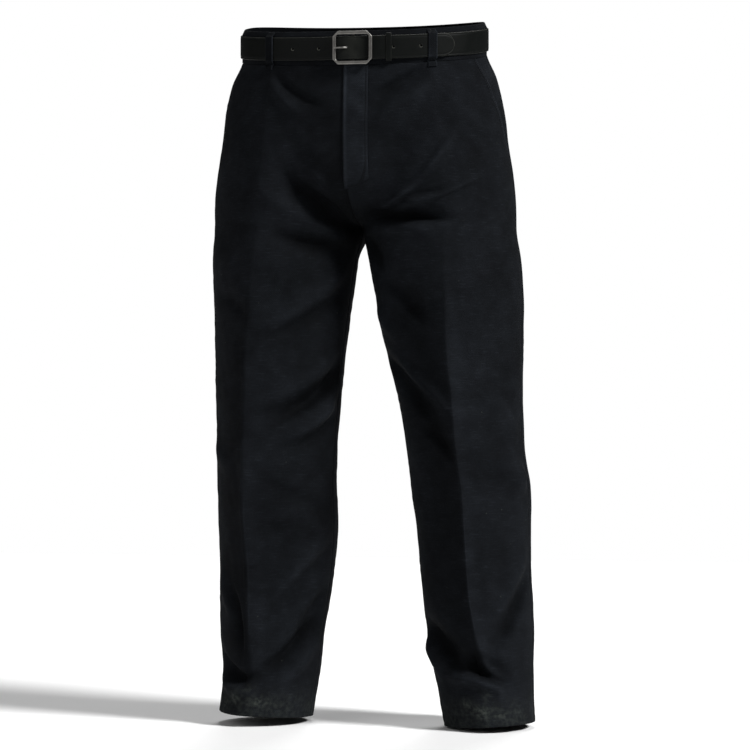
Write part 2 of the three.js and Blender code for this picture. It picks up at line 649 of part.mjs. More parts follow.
// The prong: a hub round the middle bar, rising through the strap to lie on the frame.
function prongGeometry() {
  const half = PRONG.thick / 2;
  const curve = PRONG.line.map(([x, y]) => new THREE.Vector2(x, y));
  const sideOf = (sign) =>
    curve.map((spot, n) => {
      const ahead = curve[Math.min(n + 1, curve.length - 1)];
      const behind = curve[Math.max(n - 1, 0)];
      const along = ahead.clone().sub(behind).normalize();
      return new THREE.Vector2(spot.x + along.y * half * sign, spot.y - along.x * half * sign);
    });
  const blade = new THREE.Shape([...sideOf(1), ...sideOf(-1).reverse()]);
  const { middleBar } = BUCKLE;
  const hubY = middleBar.out + middleBar.thick / 2;
  const hub = new THREE.Shape().absellipse(0, hubY, PRONG.hub, PRONG.hubHalf, 0, 2 * Math.PI, false);
  const [bw, bt] = [middleBar.width / 2 + LAYER_GAP, middleBar.thick / 2 + LAYER_GAP];
  const corners = [[-bw, -bt], [bw, -bt], [bw, bt], [-bw, bt]];
  hub.holes.push(new THREE.Path(corners.map(([x, y]) => new THREE.Vector2(x, y + hubY))));
  const depth = { depth: PRONG.width, bevelEnabled: false, curveSegments: 8 };
  const solid = solidOf(new THREE.ExtrudeGeometry(blade, depth)).add(
    solidOf(new THREE.ExtrudeGeometry(hub, depth)),
  );
  const hole = solidOf(
    new THREE.BoxGeometry(2 * bw, 2 * bt, 3 * PRONG.width).translate(0, hubY, PRONG.width / 2),
  );
  const geometry = geometryOf(solid.subtract(hole));
  return geometry
    .translate(0, 0, -PRONG.width / 2)
    .rotateX(Math.PI / 2)
    .applyMatrix4(frameAt(BUCKLE.at));
}

// The keeper: a closed leather band round the strap's two layers.
function keeperGeometry() {
  const { at, width, height, wall, back, inside } = KEEPER;
  const [h, low, high] = [height / 2, back, back + inside + 2 * wall];
  const box = (y, from, to) =>
    [[-y, from], [y, from], [y, to], [-y, to]].map(([a, b]) => new THREE.Vector2(a, b));
  const outline = new THREE.Shape(box(h, low, high));
  outline.holes.push(new THREE.Path(box(h - wall, low + wall, high - wall)));
  const band = new THREE.ExtrudeGeometry(outline, { depth: width, bevelEnabled: false });
  const toFrame = new THREE.Matrix4().makeBasis(
    new THREE.Vector3(0, 1, 0),
    new THREE.Vector3(0, 0, 1),
    new THREE.Vector3(1, 0, 0),
  );
  return band.translate(0, 0, -width / 2).applyMatrix4(toFrame).applyMatrix4(frameAt(at));
}

// A belt loop: a folded strip stitched to the waistband's top and just under its seam, standing
// clear of the strap between.
function loopGeometry(at) {
  const layers = at > 95 && at < TIP ? OVER : 0;
  const stand = ON_BAND + layers + STRAP.thick / 2 + LAYER_GAP;
  const { grip } = LOOP;
  const path = [
    { z: 24.5, out: LAYER_GAP - 2.4 },
    { z: 21.6, out: LAYER_GAP - 0.6 },
    { z: grip, out: stand },
    { z: grip / 2, out: stand },
    { z: 0, out: stand },
    { z: -grip / 2, out: stand },
    { z: -grip, out: stand },
    { z: -23, out: LAYER_GAP },
    { z: -26, lift: BAND_PROUD + 0.5, onPanel: true },
    { z: LOOP.bottom, lift: LAYER_GAP + 0.4, onPanel: true },
  ];
  const across = evenly(3, -0.5, 0.5);
  return wallGeometry(path.length, across.length, (i, j, face) => {
    const spot = path[i];
    const thick = face ? LOOP.thick : 0;
    const here = at + across[j] * LOOP.width;
    if (!spot.onPanel) return waistPoint(here, spot.out + thick, spot.z);
    const { side, panel, u } = ringSpot(here);
    return clothPoint(side, panel, u, spot.z, spot.lift + thick);
  });
}

const trousers = new THREE.Group();
for (const side of ["left", "right"]) {
  trousers.add(piece(`front_${side}`, panelGeometry(side, "front"), FINISH.cloth));
  trousers.add(piece(`back_${side}`, panelGeometry(side, "back"), FINISH.cloth));
  trousers.add(piece(`pocket_facing_${side}`, facingGeometry(side), FINISH.cloth));
  trousers.add(piece(`waistband_${side}`, waistbandGeometry(side), FINISH.band));
}
trousers.add(piece("fly_flap", flyFlapGeometry(), FINISH.cloth));
trousers.add(piece("fly_zip", zipGeometry(), FINISH.zip));
trousers.add(piece("belt_strap", strapGeometry(), FINISH.leather));
trousers.add(piece("belt_keeper", keeperGeometry(), FINISH.leather));
trousers.add(piece("buckle_frame", buckleGeometry(), FINISH.steel));
trousers.add(piece("buckle_prong", prongGeometry(), FINISH.steel));
for (const { name, at } of LOOPS) {
  const place = at === "back" ? WAIST.length / 2 : at;
  trousers.add(piece(name, loopGeometry(place), FINISH.band));
}

export default trousers;
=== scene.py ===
"""Dresses a packed pair of dress trousers with folds, seams, stitching, a leather belt and a worn buckle.

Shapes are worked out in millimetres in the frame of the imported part: +Z up, front towards -Y, the
wearer's left towards +X, origin in the middle of the waist. They become metres as a mesh is made.
"""

import bpy
import numpy as np
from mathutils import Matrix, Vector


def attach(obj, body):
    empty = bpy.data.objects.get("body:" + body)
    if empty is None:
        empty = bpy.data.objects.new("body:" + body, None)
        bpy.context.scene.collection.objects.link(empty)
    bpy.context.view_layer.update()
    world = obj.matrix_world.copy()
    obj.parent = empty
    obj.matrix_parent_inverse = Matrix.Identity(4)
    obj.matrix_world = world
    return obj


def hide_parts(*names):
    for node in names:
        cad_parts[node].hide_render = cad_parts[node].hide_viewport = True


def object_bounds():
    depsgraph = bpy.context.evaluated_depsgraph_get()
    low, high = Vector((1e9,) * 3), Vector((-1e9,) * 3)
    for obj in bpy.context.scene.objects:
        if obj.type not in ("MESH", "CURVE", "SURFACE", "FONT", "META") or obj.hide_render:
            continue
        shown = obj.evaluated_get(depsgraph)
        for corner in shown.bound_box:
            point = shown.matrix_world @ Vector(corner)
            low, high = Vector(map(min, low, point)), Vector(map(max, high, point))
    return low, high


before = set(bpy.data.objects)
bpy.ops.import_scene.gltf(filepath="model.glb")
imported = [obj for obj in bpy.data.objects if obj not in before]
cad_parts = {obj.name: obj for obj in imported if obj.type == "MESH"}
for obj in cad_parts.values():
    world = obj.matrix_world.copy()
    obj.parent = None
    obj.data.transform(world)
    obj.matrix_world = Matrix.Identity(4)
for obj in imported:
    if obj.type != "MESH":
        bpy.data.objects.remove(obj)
CAD_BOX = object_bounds()

bl_info = {
    "name": "Dress trousers with belt",
    "version": (1, 0, 0),
    "blender": (4, 5, 0),
    "location": "View3D > Sidebar > Trousers",
    "description": "Builds worn dress trousers from cut panels, with a leather belt",
    "category": "Add Mesh",
}

MM = 0.001
SIDES = ("left", "right")
PANELS = ("front", "back")


def columns(names, *rows):
    """A table with named columns, as one array for each name."""
    return dict(zip(names.split(), np.array(rows, float).T))


# The trousers' sections. Heights are from the belt line.
BAND_TOP = 26.0
BAND_BOTTOM = -24.0
CROTCH = -275.0
HEM = {"left": -1018.0, "right": -1010.0}
CLOTH = 1.4
SEAM_LAP = 0.2
SEAM_INSET = -0.0008
BAND_PROUD = 0.6
BAND_CLOTH = 2.0
OVAL = 0.87
SIDE_LINE = 8.0
SEAM_TURN = 8.0
RISE = {"front": 75.0, "back": 130.0}
HIP_BLEND = {"top": -67.0, "bottom": -345.0, "seam_top": -175.0}
WAIST_TILT = 0.17
WAIST_DIP = {"from": 20.0, "bend": 0.00104}
TILT_ENDS = -240.0
HEM_BLEND = 60.0
HEM_SLANT = {"outward": 0.055, "backward": -0.03}
PANEL_SPAN = 270.0
# Each panel is laid out this far from the next in the cut plan, so that no two share a pattern.
CUT_APART = 700.0

HIP_ROWS = columns(
    "z half front back crease_x dart_x",
    (0, 184, 120, 112, 120, 95),
    (-24, 184.8, 120.5, 113, 121, 96),
    (-55, 198.5, 123.5, 121, 123, 98),
    (-79, 205, 125.5, 130, 125, 101),
    (-112, 212, 127, 140, 129, 104),
    (-152, 217, 126.5, 148, 133, 107),
    (-197, 224.5, 123, 149, 136, 109),
    (-237, 229.5, 118, 143, 139, 110),
    (-275, 231, 113, 133, 141, 111),
    (-345, 233, 109, 120, 141, 111),
)
CROTCH_LOOP = (-275, 0, 12, 114.6, 122, 120, 14, 1.06)
LEG_COLUMNS = "z x y half front back turn point"
LEG_ROWS = {
    "left": [
        (-325, 122.5, 8, 114, 116, 113, 9, 1.12),
        (-387, 131.5, 3, 110, 109, 106, 6, 1.2),
        (-457, 138.5, -1, 103, 102, 99, 4, 1.28),
        (-527, 148, -4, 93.5, 95, 93, 3, 1.34),
        (-607, 155.5, 0, 88.5, 89, 90, 2, 1.38),
        (-662, 162, 6, 89.5, 86, 92, 2, 1.38),
        (-717, 165, 13, 86, 84, 92, 2, 1.38),
        (-797, 168, 20, 83, 82, 88, 2, 1.38),
        (-887, 173.5, 26, 80.5, 81, 84, 3, 1.34),
        (-942, 178.5, 27, 74, 82, 82, 4, 1.3),
        (-1017, 188.5, 22, 67.5, 87, 81, 5, 1.22),
    ],
    "right": [
        (-325, 120.5, 8, 111, 116, 113, 16, 1.12),
        (-387, 123.8, 3, 107.3, 108, 105, 17, 1.2),
        (-457, 127, -1, 103, 101, 98, 19, 1.28),
        (-527, 129.8, -4, 100.2, 94, 92, 20, 1.34),
        (-607, 133, 0, 97.3, 89, 89, 22, 1.38),
        (-662, 135.6, 6, 96.5, 87, 91, 23, 1.38),
        (-717, 135.8, 13, 97, 86, 92, 23, 1.38),
        (-797, 139.3, 20, 91.5, 83, 88, 20, 1.38),
        (-887, 147.3, 26, 81.8, 81, 84, 17, 1.34),
        (-942, 148, 27, 74.3, 81, 82, 16, 1.3),
        (-1017, 156, 22, 68.5, 86, 81, 17, 1.22),
    ],
}


def lerp(a, b, t):
    """The value a share t of the way from a to b."""
    return a + (b - a) * t


def smooth(t):
    """A step from 0 to 1 that starts and ends level: 3t^2 - 2t^3 with t held in 0 to 1."""
    t = np.clip(t, 0, 1)
    return t * t * (3 - 2 * t)


def power(value, exponent):
    """A power that keeps its value's sign."""
    return np.sign(value) * np.abs(value) ** exponent


def bump(t):
    """A bell: exp(-t^2)."""
    return np.exp(-np.square(t))


def turns(count):
    """Evenly spaced angles of a full turn, without the last."""
    return np.linspace(0, 2 * np.pi, count, endpoint=False)


def hermite(t, span, start, end, leave, arrive):
    """A cubic from start to end over a span, with a slope at each: the Hermite form."""
    ends = (2 * t**3 - 3 * t**2 + 1) * start + (3 * t**2 - 2 * t**3) * end
    return ends + ((t**3 - 2 * t**2 + t) * leave + (t**3 - t**2) * arrive) * span


def row_at(table, z):
    """Each column at heights z, on a cubic Hermite curve through the rows that sets out level."""
    knots = table["z"]
    z = np.asarray(z, float)
    i = np.clip(np.searchsorted(-knots, -z, side="right") - 1, 0, len(knots) - 2)
    span = knots[i + 1] - knots[i]
    t = (z - knots[i]) / span
    out = {}
    for key, value in table.items():
        slope = np.zeros(len(knots))
        slope[1:-1] = (value[2:] - value[:-2]) / (knots[2:] - knots[:-2])
        slope[-1] = (value[-1] - value[-2]) / (knots[-1] - knots[-2])
        out[key] = hermite(t, span, value[i], value[i + 1], slope[i], slope[i + 1])
    return out


def loop_point(row, panel, u):
    """A point of a leg's loop: half * cos^point across and reach * sin forward, then turned.

    The angle runs from the side seam (u 0) over the crease (u 0.5) to the inseam (u 1).
    """
    quarter = 90.0 if panel == "front" else -90.0
    first = lerp(SEAM_TURN, quarter, 2 * u)
    second = lerp(quarter, 2 * quarter + SEAM_TURN, 2 * u - 1)
    angle = np.radians(np.where(u < 0.5, first, second))
    reach = np.where(np.sin(angle) > 0, row["front"], row["back"])
    x = row["half"] * power(np.cos(angle), row["point"])
    y = -reach * np.sin(angle)
    turn = np.radians(row["turn"])
    return row["x"] + x * np.cos(turn) - y * np.sin(turn), row["y"] + x * np.sin(turn) + y * np.cos(turn)


def leg_tables():
    """The legs' tables, headed by the crotch's loop, which is placed so that its inseam lies at x = 0."""
    loop = dict(zip(LEG_COLUMNS.split(), CROTCH_LOOP))
    offset = -float(loop_point(loop, "front", np.array(1.0))[0])
    top = (CROTCH_LOOP[0], offset, *CROTCH_LOOP[2:])
    return {side: columns(LEG_COLUMNS, top, *LEG_ROWS[side]) for side in SIDES}


LEG = leg_tables()


def oval_point(row, panel, u):
    """A point of the hips' oval: half * cos^0.87 across and reach * sin^0.87 forward or back."""
    front = panel == "front"
    reach = row["front"] + SIDE_LINE if front else row["back"] - SIDE_LINE
    crease_x = row["crease_x"] if front else row["dart_x"]
    crease = np.arccos((crease_x / row["half"]) ** (1 / OVAL))
    angle = np.where(u < 0.5, lerp(0, crease, 2 * u), lerp(crease, np.pi / 2, 2 * u - 1))
    y = reach * power(np.sin(angle), OVAL)
    return row["half"] * power(np.cos(angle), OVAL), SIDE_LINE + (-y if front else y)


def section_point(side, panel, u, z):
    """A panel's section: the hips' oval blended into the leg's loop.

    The blend is a smooth step down the outer half, and a quarter ellipse down the centre seam,
    which curves under to the crotch.
    """
    inward = smooth(2 * u - 1)
    bottom = lerp(HIP_BLEND["bottom"], CROTCH, inward)
    hips = row_at(HIP_ROWS, np.clip(z, HIP_BLEND["bottom"], 0))
    crotch_row = row_at(HIP_ROWS, CROTCH)
    oval_x, oval_y = oval_point(hips, panel, u)
    loop_x, loop_y = loop_point(row_at(LEG[side], np.minimum(z, CROTCH)), panel, u)
    above = z > CROTCH
    half = np.where(above, hips["half"] / crotch_row["half"], 1)
    depth = np.where(loop_y < 0, hips["front"] / crotch_row["front"], hips["back"] / crotch_row["back"])
    depth = np.where(above, depth, 1)
    top = lerp(HIP_BLEND["top"], HIP_BLEND["seam_top"], inward)
    outer = smooth((z - top) / (bottom - top))
    rise = np.clip((z - CROTCH) / RISE[panel], 0, 1)
    inner = 1 - np.sqrt(1 - (1 - rise) ** 2)
    share = np.where(z <= bottom, 1, lerp(outer, inner, inward**2))
    return lerp(oval_x, loop_x * half, share), lerp(oval_y, loop_y * depth, share)


def waist_rise(y):
    """Height of the waist's line: a straight tilt that levels off in a parabola at the back."""
    return WAIST_TILT * y - WAIST_DIP["bend"] * np.maximum(0, y - WAIST_DIP["from"]) ** 2


def body_point(side, panel, u, z):
    """The cloth's outer face before folds: the section, with the waist's tilt and the hem's slant."""
    u, z = np.broadcast_arrays(np.asarray(u, float), np.asarray(z, float))
    x, y = section_point(side, panel, u, z)
    tilt = np.clip((z - TILT_ENDS) / (BAND_BOTTOM - TILT_ENDS), 0, 1)
    near_hem = smooth((HEM[side] + HEM_BLEND - z) / HEM_BLEND)
    middle = {key: value[-1] for key, value in LEG[side].items()}
    slant = HEM_SLANT["outward"] * (x - middle["x"]) + HEM_SLANT["backward"] * (y - middle["y"])
    height = z + tilt * waist_rise(y) + near_hem * slant
    return np.stack([x if side == "left" else -x, y, height], axis=-1)


def unit(vectors):
    """Vectors of length one."""
    return vectors / np.maximum(np.linalg.norm(vectors, axis=-1, keepdims=True), 1e-9)


def body_normal(side, panel, u, z):
    """The outward direction: the cross product of the steps across and down."""
    step = 0.01
    across = body_point(side, panel, np.minimum(u + step, 1), z)
    across = across - body_point(side, panel, np.maximum(u - step, 0), z)
    down = body_point(side, panel, u, z - 2) - body_point(side, panel, u, z + 2)
    normal = unit(np.cross(across, down))
    return normal if (side == "left") == (panel == "front") else -normal


# Folds of the cloth. Each runs from (u0, z0) to (u1, z1) on a panel. Below 0 its height is a trough.
# Lean steepens one flank and eases the other, and bow bends the line sideways.
FOLD_COLUMNS = "u0 z0 u1 z1 height width lean bow"
FOLD_ROWS = {
    ("right", "front"): [
        (0.5, -26, 0.97, -100, -3.2, 8, 0.3, 6),
        (0.5, -42, 0.84, -114, 3, 9, 0, 5),
        (0.58, -172, 1.06, -290, -8.5, 15, 0.25, 8),
        (0.46, -200, 0.92, -302, 3.5, 12, 0, 8),
        (0.8, -186, 0.96, -236, 3, 7, 0, 0),
        (0.52, -280, 0.98, -318, -8, 13, 0.2, 6),
        (0.54, -440, 0.97, -322, 5, 13, 0.2, 8),
        (0.56, -462, 0.97, -348, -5, 11, 0.3, 8),
        (0.2, -372, 0.56, -420, -2.5, 12, 0, -8),
        (1.12, -458, 0.58, -580, -14, 13, 0.5, -10),
        (0.98, -452, 0.56, -552, 5, 14, 0, -10),
        (1.0, -520, 0.68, -602, 6, 9, 0, -8),
        (1.0, -546, 0.72, -616, -5, 9, 0.2, -6),
        (0.56, -640, 0.98, -700, -3, 14, 0.2, 8),
        (0.1, -590, 0.44, -640, 3, 15, 0, 8),
        (0.58, -724, 0.9, -664, 3, 14, 0, 6),
        (0.6, -892, 0.99, -748, -5, 12, 0.3, -8),
        (0.62, -864, 0.99, -722, 4.5, 10, 0, -8),
        (0.76, -918, 1.0, -806, -5, 10, 0.2, -6),
        (0.2, -778, 0.4, -872, 4.5, 13, 0, 6),
        (0.3, -800, 0.5, -926, -6, 12, 0.3, -6),
        (0.1, -908, 0.7, -948, -9, 11, 0.4, 18),
        (0.52, -960, 1.0, -836, -11, 13, 0.3, 12),
        (0.12, -938, 0.66, -972, 6, 11, 0, 14),
        (0.6, -976, 0.96, -880, 4.5, 11, 0, 12),
    ],
    ("left", "front"): [
        (0.46, -30, 0.95, -92, -6, 11, 0.3, -8),
        (0.44, -56, 0.9, -122, 4, 12, 0, -8),
        (0.92, -262, 0.58, -206, 8, 6, 0.3, -9),
        (0.66, -224, 0.38, -118, 6, 7, 0, -4),
        (0.8, -262, 0.26, -194, 8, 6, 0.3, -6),
        (0.94, -262, 0.66, -240, -5, 10, 0.2, 0),
        (0.66, -240, 0.38, -210, -6, 6, 0, -4),
        (0.98, -264, 0.4, -272, -11, 8, 0.5, 2),
        (0.9, -282, 0.48, -288, 4, 9, 0, 2),
        (0.97, -290, 0.78, -352, -7, 14, 0.3, 8),
        (0.84, -340, 0.58, -440, -7, 12, 0.4, 8),
        (0.98, -392, 0.66, -470, 4, 13, 0, 8),
        (0.98, -446, 0.56, -606, -8, 12, 0.4, 6),
        (0.82, -468, 0.52, -566, 5, 10, 0, 6),
        (0.76, -560, 0.52, -628, -5, 9, 0.3, 5),
        (0.3, -520, 0.02, -600, 3, 20, 0, 0),
        (0.28, -610, 0.0, -672, 7, 22, 0, 0),
        (0.44, -920, 0.0, -776, -8, 13, 0.4, -10),
        (0.46, -888, 0.02, -742, 4, 12, 0, -10),
        (0.98, -862, 0.6, -944, -13, 16, 0.4, 10),
        (0.7, -932, 0.2, -958, -16, 14, 0.4, 12),
        (0.5, -912, 0.24, -948, 8, 8, 0, -4),
        (0.8, -946, 0.24, -974, 7, 8, 0, 12),
        (0.96, -888, 0.76, -956, 5, 10, 0, 8),
    ],
    ("right", "back"): [
        (0.95, -262, 0.42, -330, -5, 13, 0.3, 10),
        (0.95, -288, 0.4, -352, 3.6, 11, 0, 10),
        (0.95, -312, 0.5, -386, -4.3, 13, 0.3, 8),
        (0.9, -150, 0.5, -236, -2.2, 18, 0, 10),
        (0.1, -180, 0.45, -250, 2.2, 18, 0, -8),
        (0.9, -556, 0.2, -590, -5.8, 13, 0.4, 12),
        (0.86, -584, 0.2, -610, 4.3, 10, 0, 10),
        (0.8, -612, 0.24, -634, -4.3, 12, 0.3, 8),
        (0.85, -670, 0.4, -720, 2.2, 15, 0, 8),
        (0.85, -900, 0.2, -938, -6.5, 13, 0.4, 14),
        (0.85, -930, 0.2, -964, 4.3, 11, 0, 12),
        (0.2, -840, 0.5, -900, -2.9, 12, 0.2, -6),
    ],
    ("left", "back"): [
        (0.95, -262, 0.42, -336, -5, 13, 0.3, 10),
        (0.95, -290, 0.42, -360, 3.6, 11, 0, 10),
        (0.95, -318, 0.52, -394, -4.3, 13, 0.3, 8),
        (0.88, -140, 0.5, -226, -2.2, 18, 0, 10),
        (0.12, -190, 0.42, -262, 2.2, 18, 0, -8),
        (0.88, -548, 0.2, -580, -5.8, 13, 0.4, 12),
        (0.86, -576, 0.22, -602, 4.3, 10, 0, 10),
        (0.82, -604, 0.26, -626, -4.3, 12, 0.3, 8),
        (0.8, -680, 0.4, -730, 2.2, 15, 0, 8),
        (0.85, -886, 0.2, -930, -6.5, 13, 0.4, 14),
        (0.85, -918, 0.2, -958, 4.3, 11, 0, 12),
        (0.2, -830, 0.5, -892, -2.9, 12, 0.2, -6),
    ],
}
FOLDS = {key: columns(FOLD_COLUMNS, *rows) for key, rows in FOLD_ROWS.items()}


def fold_height(side, panel, u, z):
    """Height of all folds: a bell across each one's bowed line, times a soft start and end."""
    folds = FOLDS[side, panel]
    shape = (-1,) + (1,) * np.ndim(u)
    u0, z0, u1, z1, high, width, lean, bow = (folds[key].reshape(shape) for key in FOLD_COLUMNS.split())
    along_u = (u1 - u0) * PANEL_SPAN
    along_z = z1 - z0
    length = np.hypot(along_u, along_z)
    from_u = (u - u0) * PANEL_SPAN
    from_z = z - z0
    t = (from_u * along_u + from_z * along_z) / length**2
    off = (from_u * along_z - from_z * along_u) / length - bow * (1 - np.square(2 * t - 1))
    across = off / (width * (1 + lean * np.tanh(off / width)))
    return np.sum(high * smooth(1.25 - np.abs(2 * t - 1) * 1.25) * bump(across), axis=0)


def ripple(seed, u, z, shortest, longest):
    """Faint unevenness from -1 to 1: a sum of eight waves whose directions come from a seed."""
    random = np.random.default_rng(seed)
    total = 0
    for turn, share, phase in random.random((8, 3)):
        wave = lerp(shortest, longest, share)
        along = u * PANEL_SPAN * np.cos(np.pi * turn) + z * np.sin(np.pi * turn)
        total = total + np.sin(2 * np.pi * (along / wave + phase))
    return total / 8


def linear(hex_colour):
    """An sRGB hex colour as linear red, green and blue."""
    value = np.array([int(hex_colour[i : i + 2], 16) for i in (1, 3, 5)]) / 255
    return tuple(np.where(value <= 0.04045, value / 12.92, ((value + 0.055) / 1.055) ** 2.4))


class TrouserSizes(bpy.types.PropertyGroup):
    """Sizes that a user may change."""

    fold_depth: bpy.props.FloatProperty(
        name="Fold depth",
        description="Depth of the worn folds, times their table's heights",
        default=1.5,
        min=0.0,
        max=1.5,
    )
    crease: bpy.props.FloatProperty(
        name="Pressed crease", description="How far the pressed crease stands out", default=0.007, unit="LENGTH"
    )
    hem_turn: bpy.props.FloatProperty(
        name="Turned hem", description="Depth of the hem's turned-up cloth", default=0.038, unit="LENGTH"
    )
    stitch: bpy.props.FloatProperty(
        name="Stitch", description="Length of one stitch with its gap", default=0.003, unit="LENGTH"
    )


def colour_property(name, description, hex_colour):
    """A colour that a user may change."""
    return bpy.props.FloatVectorProperty(
        name=name, description=description, default=linear(hex_colour), subtype="COLOR", size=3, min=0, max=1
    )


class TrouserColours(bpy.types.PropertyGroup):
    """Colours that a user may change."""

    cloth: colour_property("Cloth", "Charcoal wool twill", "#0f1114")
    dust: colour_property("Dust", "Dry dust on the hems", "#3a3e3a")
    lining: colour_property("Lining", "Waistband lining", "#15171a")
    leather: colour_property("Leather", "Belt leather", "#080a09")
    # Also painted as highlights on the strap's top edge and the holes' lower rims.
    leather_wear_highlight: colour_property("Leather wear", "Leather where its finish has rubbed off", "#40413c")
    metal: colour_property("Buckle", "Worn nickel plate", "#8f8d89")
    thread: colour_property("Thread", "Sewing thread", "#2a2d32")
    floor: colour_property("Floor", "Studio floor", "#f2f2f2")


def add_node(tree, kind, inputs=None, **settings):
    """Adds a node with its settings, and sets or links each input that is named."""
    made = tree.nodes.new(kind)
    for key, value in settings.items():
        setattr(made, key, value)
    for key, value in (inputs or {}).items():
        if isinstance(value, bpy.types.NodeSocket):
            tree.links.new(value, made.inputs[key])
        else:
            made.inputs[key].default_value = value
    return made


def new_material(name, **values):
    """A node material with one surface shader, whose plain values are set on its own sockets."""
    material = bpy.data.materials.new(name)
    material.use_nodes = True
    shader = material.node_tree.nodes["Principled BSDF"]
    for key, value in values.items():
        shader.inputs[key.replace("_", " ")].default_value = value
    return material, material.node_tree, shader


def rgba(colour, factor=1.0):
    """A colour times a factor, with full alpha."""
    return (*(channel * factor for channel in colour), 1.0)


def wool_twill(name, colours):
    # Worsted wool twill, dyed in the wool: matt and near black, with a soft bloom at grazing angles,
    # a fine diagonal rib, weft streaks, painted light and shade on folds, creases and edges, lint, and blotches of
    # dust where the hems rub.
    material, tree, shader = new_material(name, Roughness=0.88)
    shader.inputs["Specular IOR Level"].default_value = 0.05
    shader.inputs["Sheen Weight"].default_value = 0.003
    shader.inputs["Sheen Roughness"].default_value = 0.45
    shader.inputs["Sheen Tint"].default_value = rgba(linear("#aab0ba"))
    cut = add_node(tree, "ShaderNodeUVMap", uv_map="Cut").outputs["UV"]
    # Real ribs lie 0.6 mm apart. They are drawn 2.2 mm apart, so that they show.
    rib = add_node(tree, "ShaderNodeTexWave", {"Vector": cut, "Scale": 0.444 / 0.0022, "Distortion": 0.6,
                   "Detail": 1.0}, bands_direction="DIAGONAL").outputs["Fac"]
    lint = add_node(tree, "ShaderNodeTexVoronoi", {"Vector": cut, "Scale": 46.0, "Randomness": 1.0}).outputs[0]
    # Uneven weft yarns show as streaks about 16 mm long. They are 0.4 mm wide and are drawn at 2 mm.
    along = add_node(tree, "ShaderNodeMapping", {"Vector": cut, "Scale": (1 / 0.016, 1 / 0.002, 1.0)}).outputs[0]
    noises = {"fleck": (cut, 420.0, 3.0), "cloud": (cut, 12.0, 3.0), "mottle": (cut, 52.0, 2.0),
              "crumb": (cut, 150.0, 5.0), "streak": (along, 1.0, 1.0)}
    part = {}
    for key, values in noises.items():
        inputs = dict(zip(("Vector", "Scale", "Detail"), values))
        part[key] = add_node(tree, "ShaderNodeTexNoise", inputs).outputs[0]
    # Each pattern's own range, and the range of shades or shares that it becomes.
    ranges = {
        "fade": (part["cloud"], 0.32, 0.68, 0.7, 1.28),
        "patch": (part["mottle"], 0.3, 0.7, 0.84, 1.16),
        "slub": (part["streak"], 0.58, 0.78, 1.0, 1.75),
        "speck": (lint, 0.06, 0.025, 0.0, 0.45),
        "cling": (part["cloud"], 0.45, 0.6, 0.0, 1.0),
        "blotch": (part["crumb"], 0.4, 0.7, 0.15, 0.95),
    }
    for key, values in ranges.items():
        inputs = dict(zip(("Value", "From Min", "From Max", "To Min", "To Max"), values))
        part[key] = add_node(tree, "ShaderNodeMapRange", inputs).outputs[0]
    for key in ("painted_light_and_wear", "dust"):
        part[key] = add_node(tree, "ShaderNodeAttribute", attribute_name=key).outputs["Fac"]
    # Random tone, times an attribute that holds painted light and shade: paler ridges and edges, darker troughs.
    shade = part["fade"]
    for key in ("patch", "slub", "painted_light_and_wear"):
        shade = add_node(tree, "ShaderNodeMath", {0: shade, 1: part[key]}, operation="MULTIPLY").outputs[0]
    dark = add_node(tree, "ShaderNodeMix", {"Factor": part["fleck"], "A": rgba(colours.cloth, 0.6),
                    "B": rgba(colours.cloth, 1.45)}, data_type="RGBA")
    varied = add_node(tree, "ShaderNodeVectorMath", {0: dark.outputs["Result"], 1: shade}, operation="MULTIPLY")
    speck, dusty = (
        add_node(tree, "ShaderNodeMath", {0: part[a], 1: part[b]}, operation="MULTIPLY").outputs[0]
        for a, b in (("speck", "cling"), ("dust", "blotch"))
    )
    share = add_node(tree, "ShaderNodeMath", {0: dusty, 1: speck}, operation="ADD", use_clamp=True).outputs[0]
    final = add_node(tree, "ShaderNodeMix", {"Factor": share, "A": varied.outputs[0], "B": rgba(colours.dust)},
                     data_type="RGBA")
    height = rib
    for key in ("fleck", "streak"):
        height = add_node(tree, "ShaderNodeMath", {0: height, 1: part[key]}, operation="ADD").outputs[0]
    bump_node = add_node(tree, "ShaderNodeBump", {"Height": height, "Strength": 0.35, "Distance": 0.0004})
    tree.links.new(final.outputs["Result"], shader.inputs["Base Color"])
    tree.links.new(bump_node.outputs["Normal"], shader.inputs["Normal"])
    return material


def belt_leather(name, colours):
    # Corrected-grain cowhide with a satin topcoat: near black, fine pores, and edges paler, partly from rubbed brown
    # wear and partly from painted highlights.
    material, tree, shader = new_material(name, Roughness=0.42)
    shader.inputs["Specular IOR Level"].default_value = 0.09
    place = add_node(tree, "ShaderNodeTexCoord").outputs["Object"]
    # Real pores are 0.2 mm wide. They are drawn at 0.9 mm.
    grain = add_node(tree, "ShaderNodeTexVoronoi", {"Vector": place, "Scale": 1 / 0.0009},
                     feature="SMOOTH_F1").outputs[0]
    haze = add_node(tree, "ShaderNodeTexNoise", {"Vector": place, "Scale": 60.0, "Detail": 5.0}).outputs["Fac"]
    # An attribute holds real wear at the edges and bends, and painted highlights on the top edge and the holes' lower
    # rims.
    wear_and_highlight = add_node(tree, "ShaderNodeAttribute", attribute_name="wear_and_highlight").outputs["Fac"]
    painted_light_and_wear = add_node(tree, "ShaderNodeMath", {0: wear_and_highlight, 1: haze}, operation="MULTIPLY").outputs[0]
    mixed = add_node(tree, "ShaderNodeMix", {"Factor": painted_light_and_wear, "A": rgba(colours.leather),
                     "B": rgba(colours.leather_wear_highlight)}, data_type="RGBA")
    rough = add_node(tree, "ShaderNodeMapRange", {"Value": haze, "To Min": 0.4, "To Max": 0.62}).outputs[0]
    bump_node = add_node(tree, "ShaderNodeBump", {"Height": grain, "Strength": 0.2, "Distance": 0.0003})
    tree.links.new(mixed.outputs["Result"], shader.inputs["Base Color"])
    tree.links.new(rough, shader.inputs["Roughness"])
    tree.links.new(bump_node.outputs["Normal"], shader.inputs["Normal"])
    return material


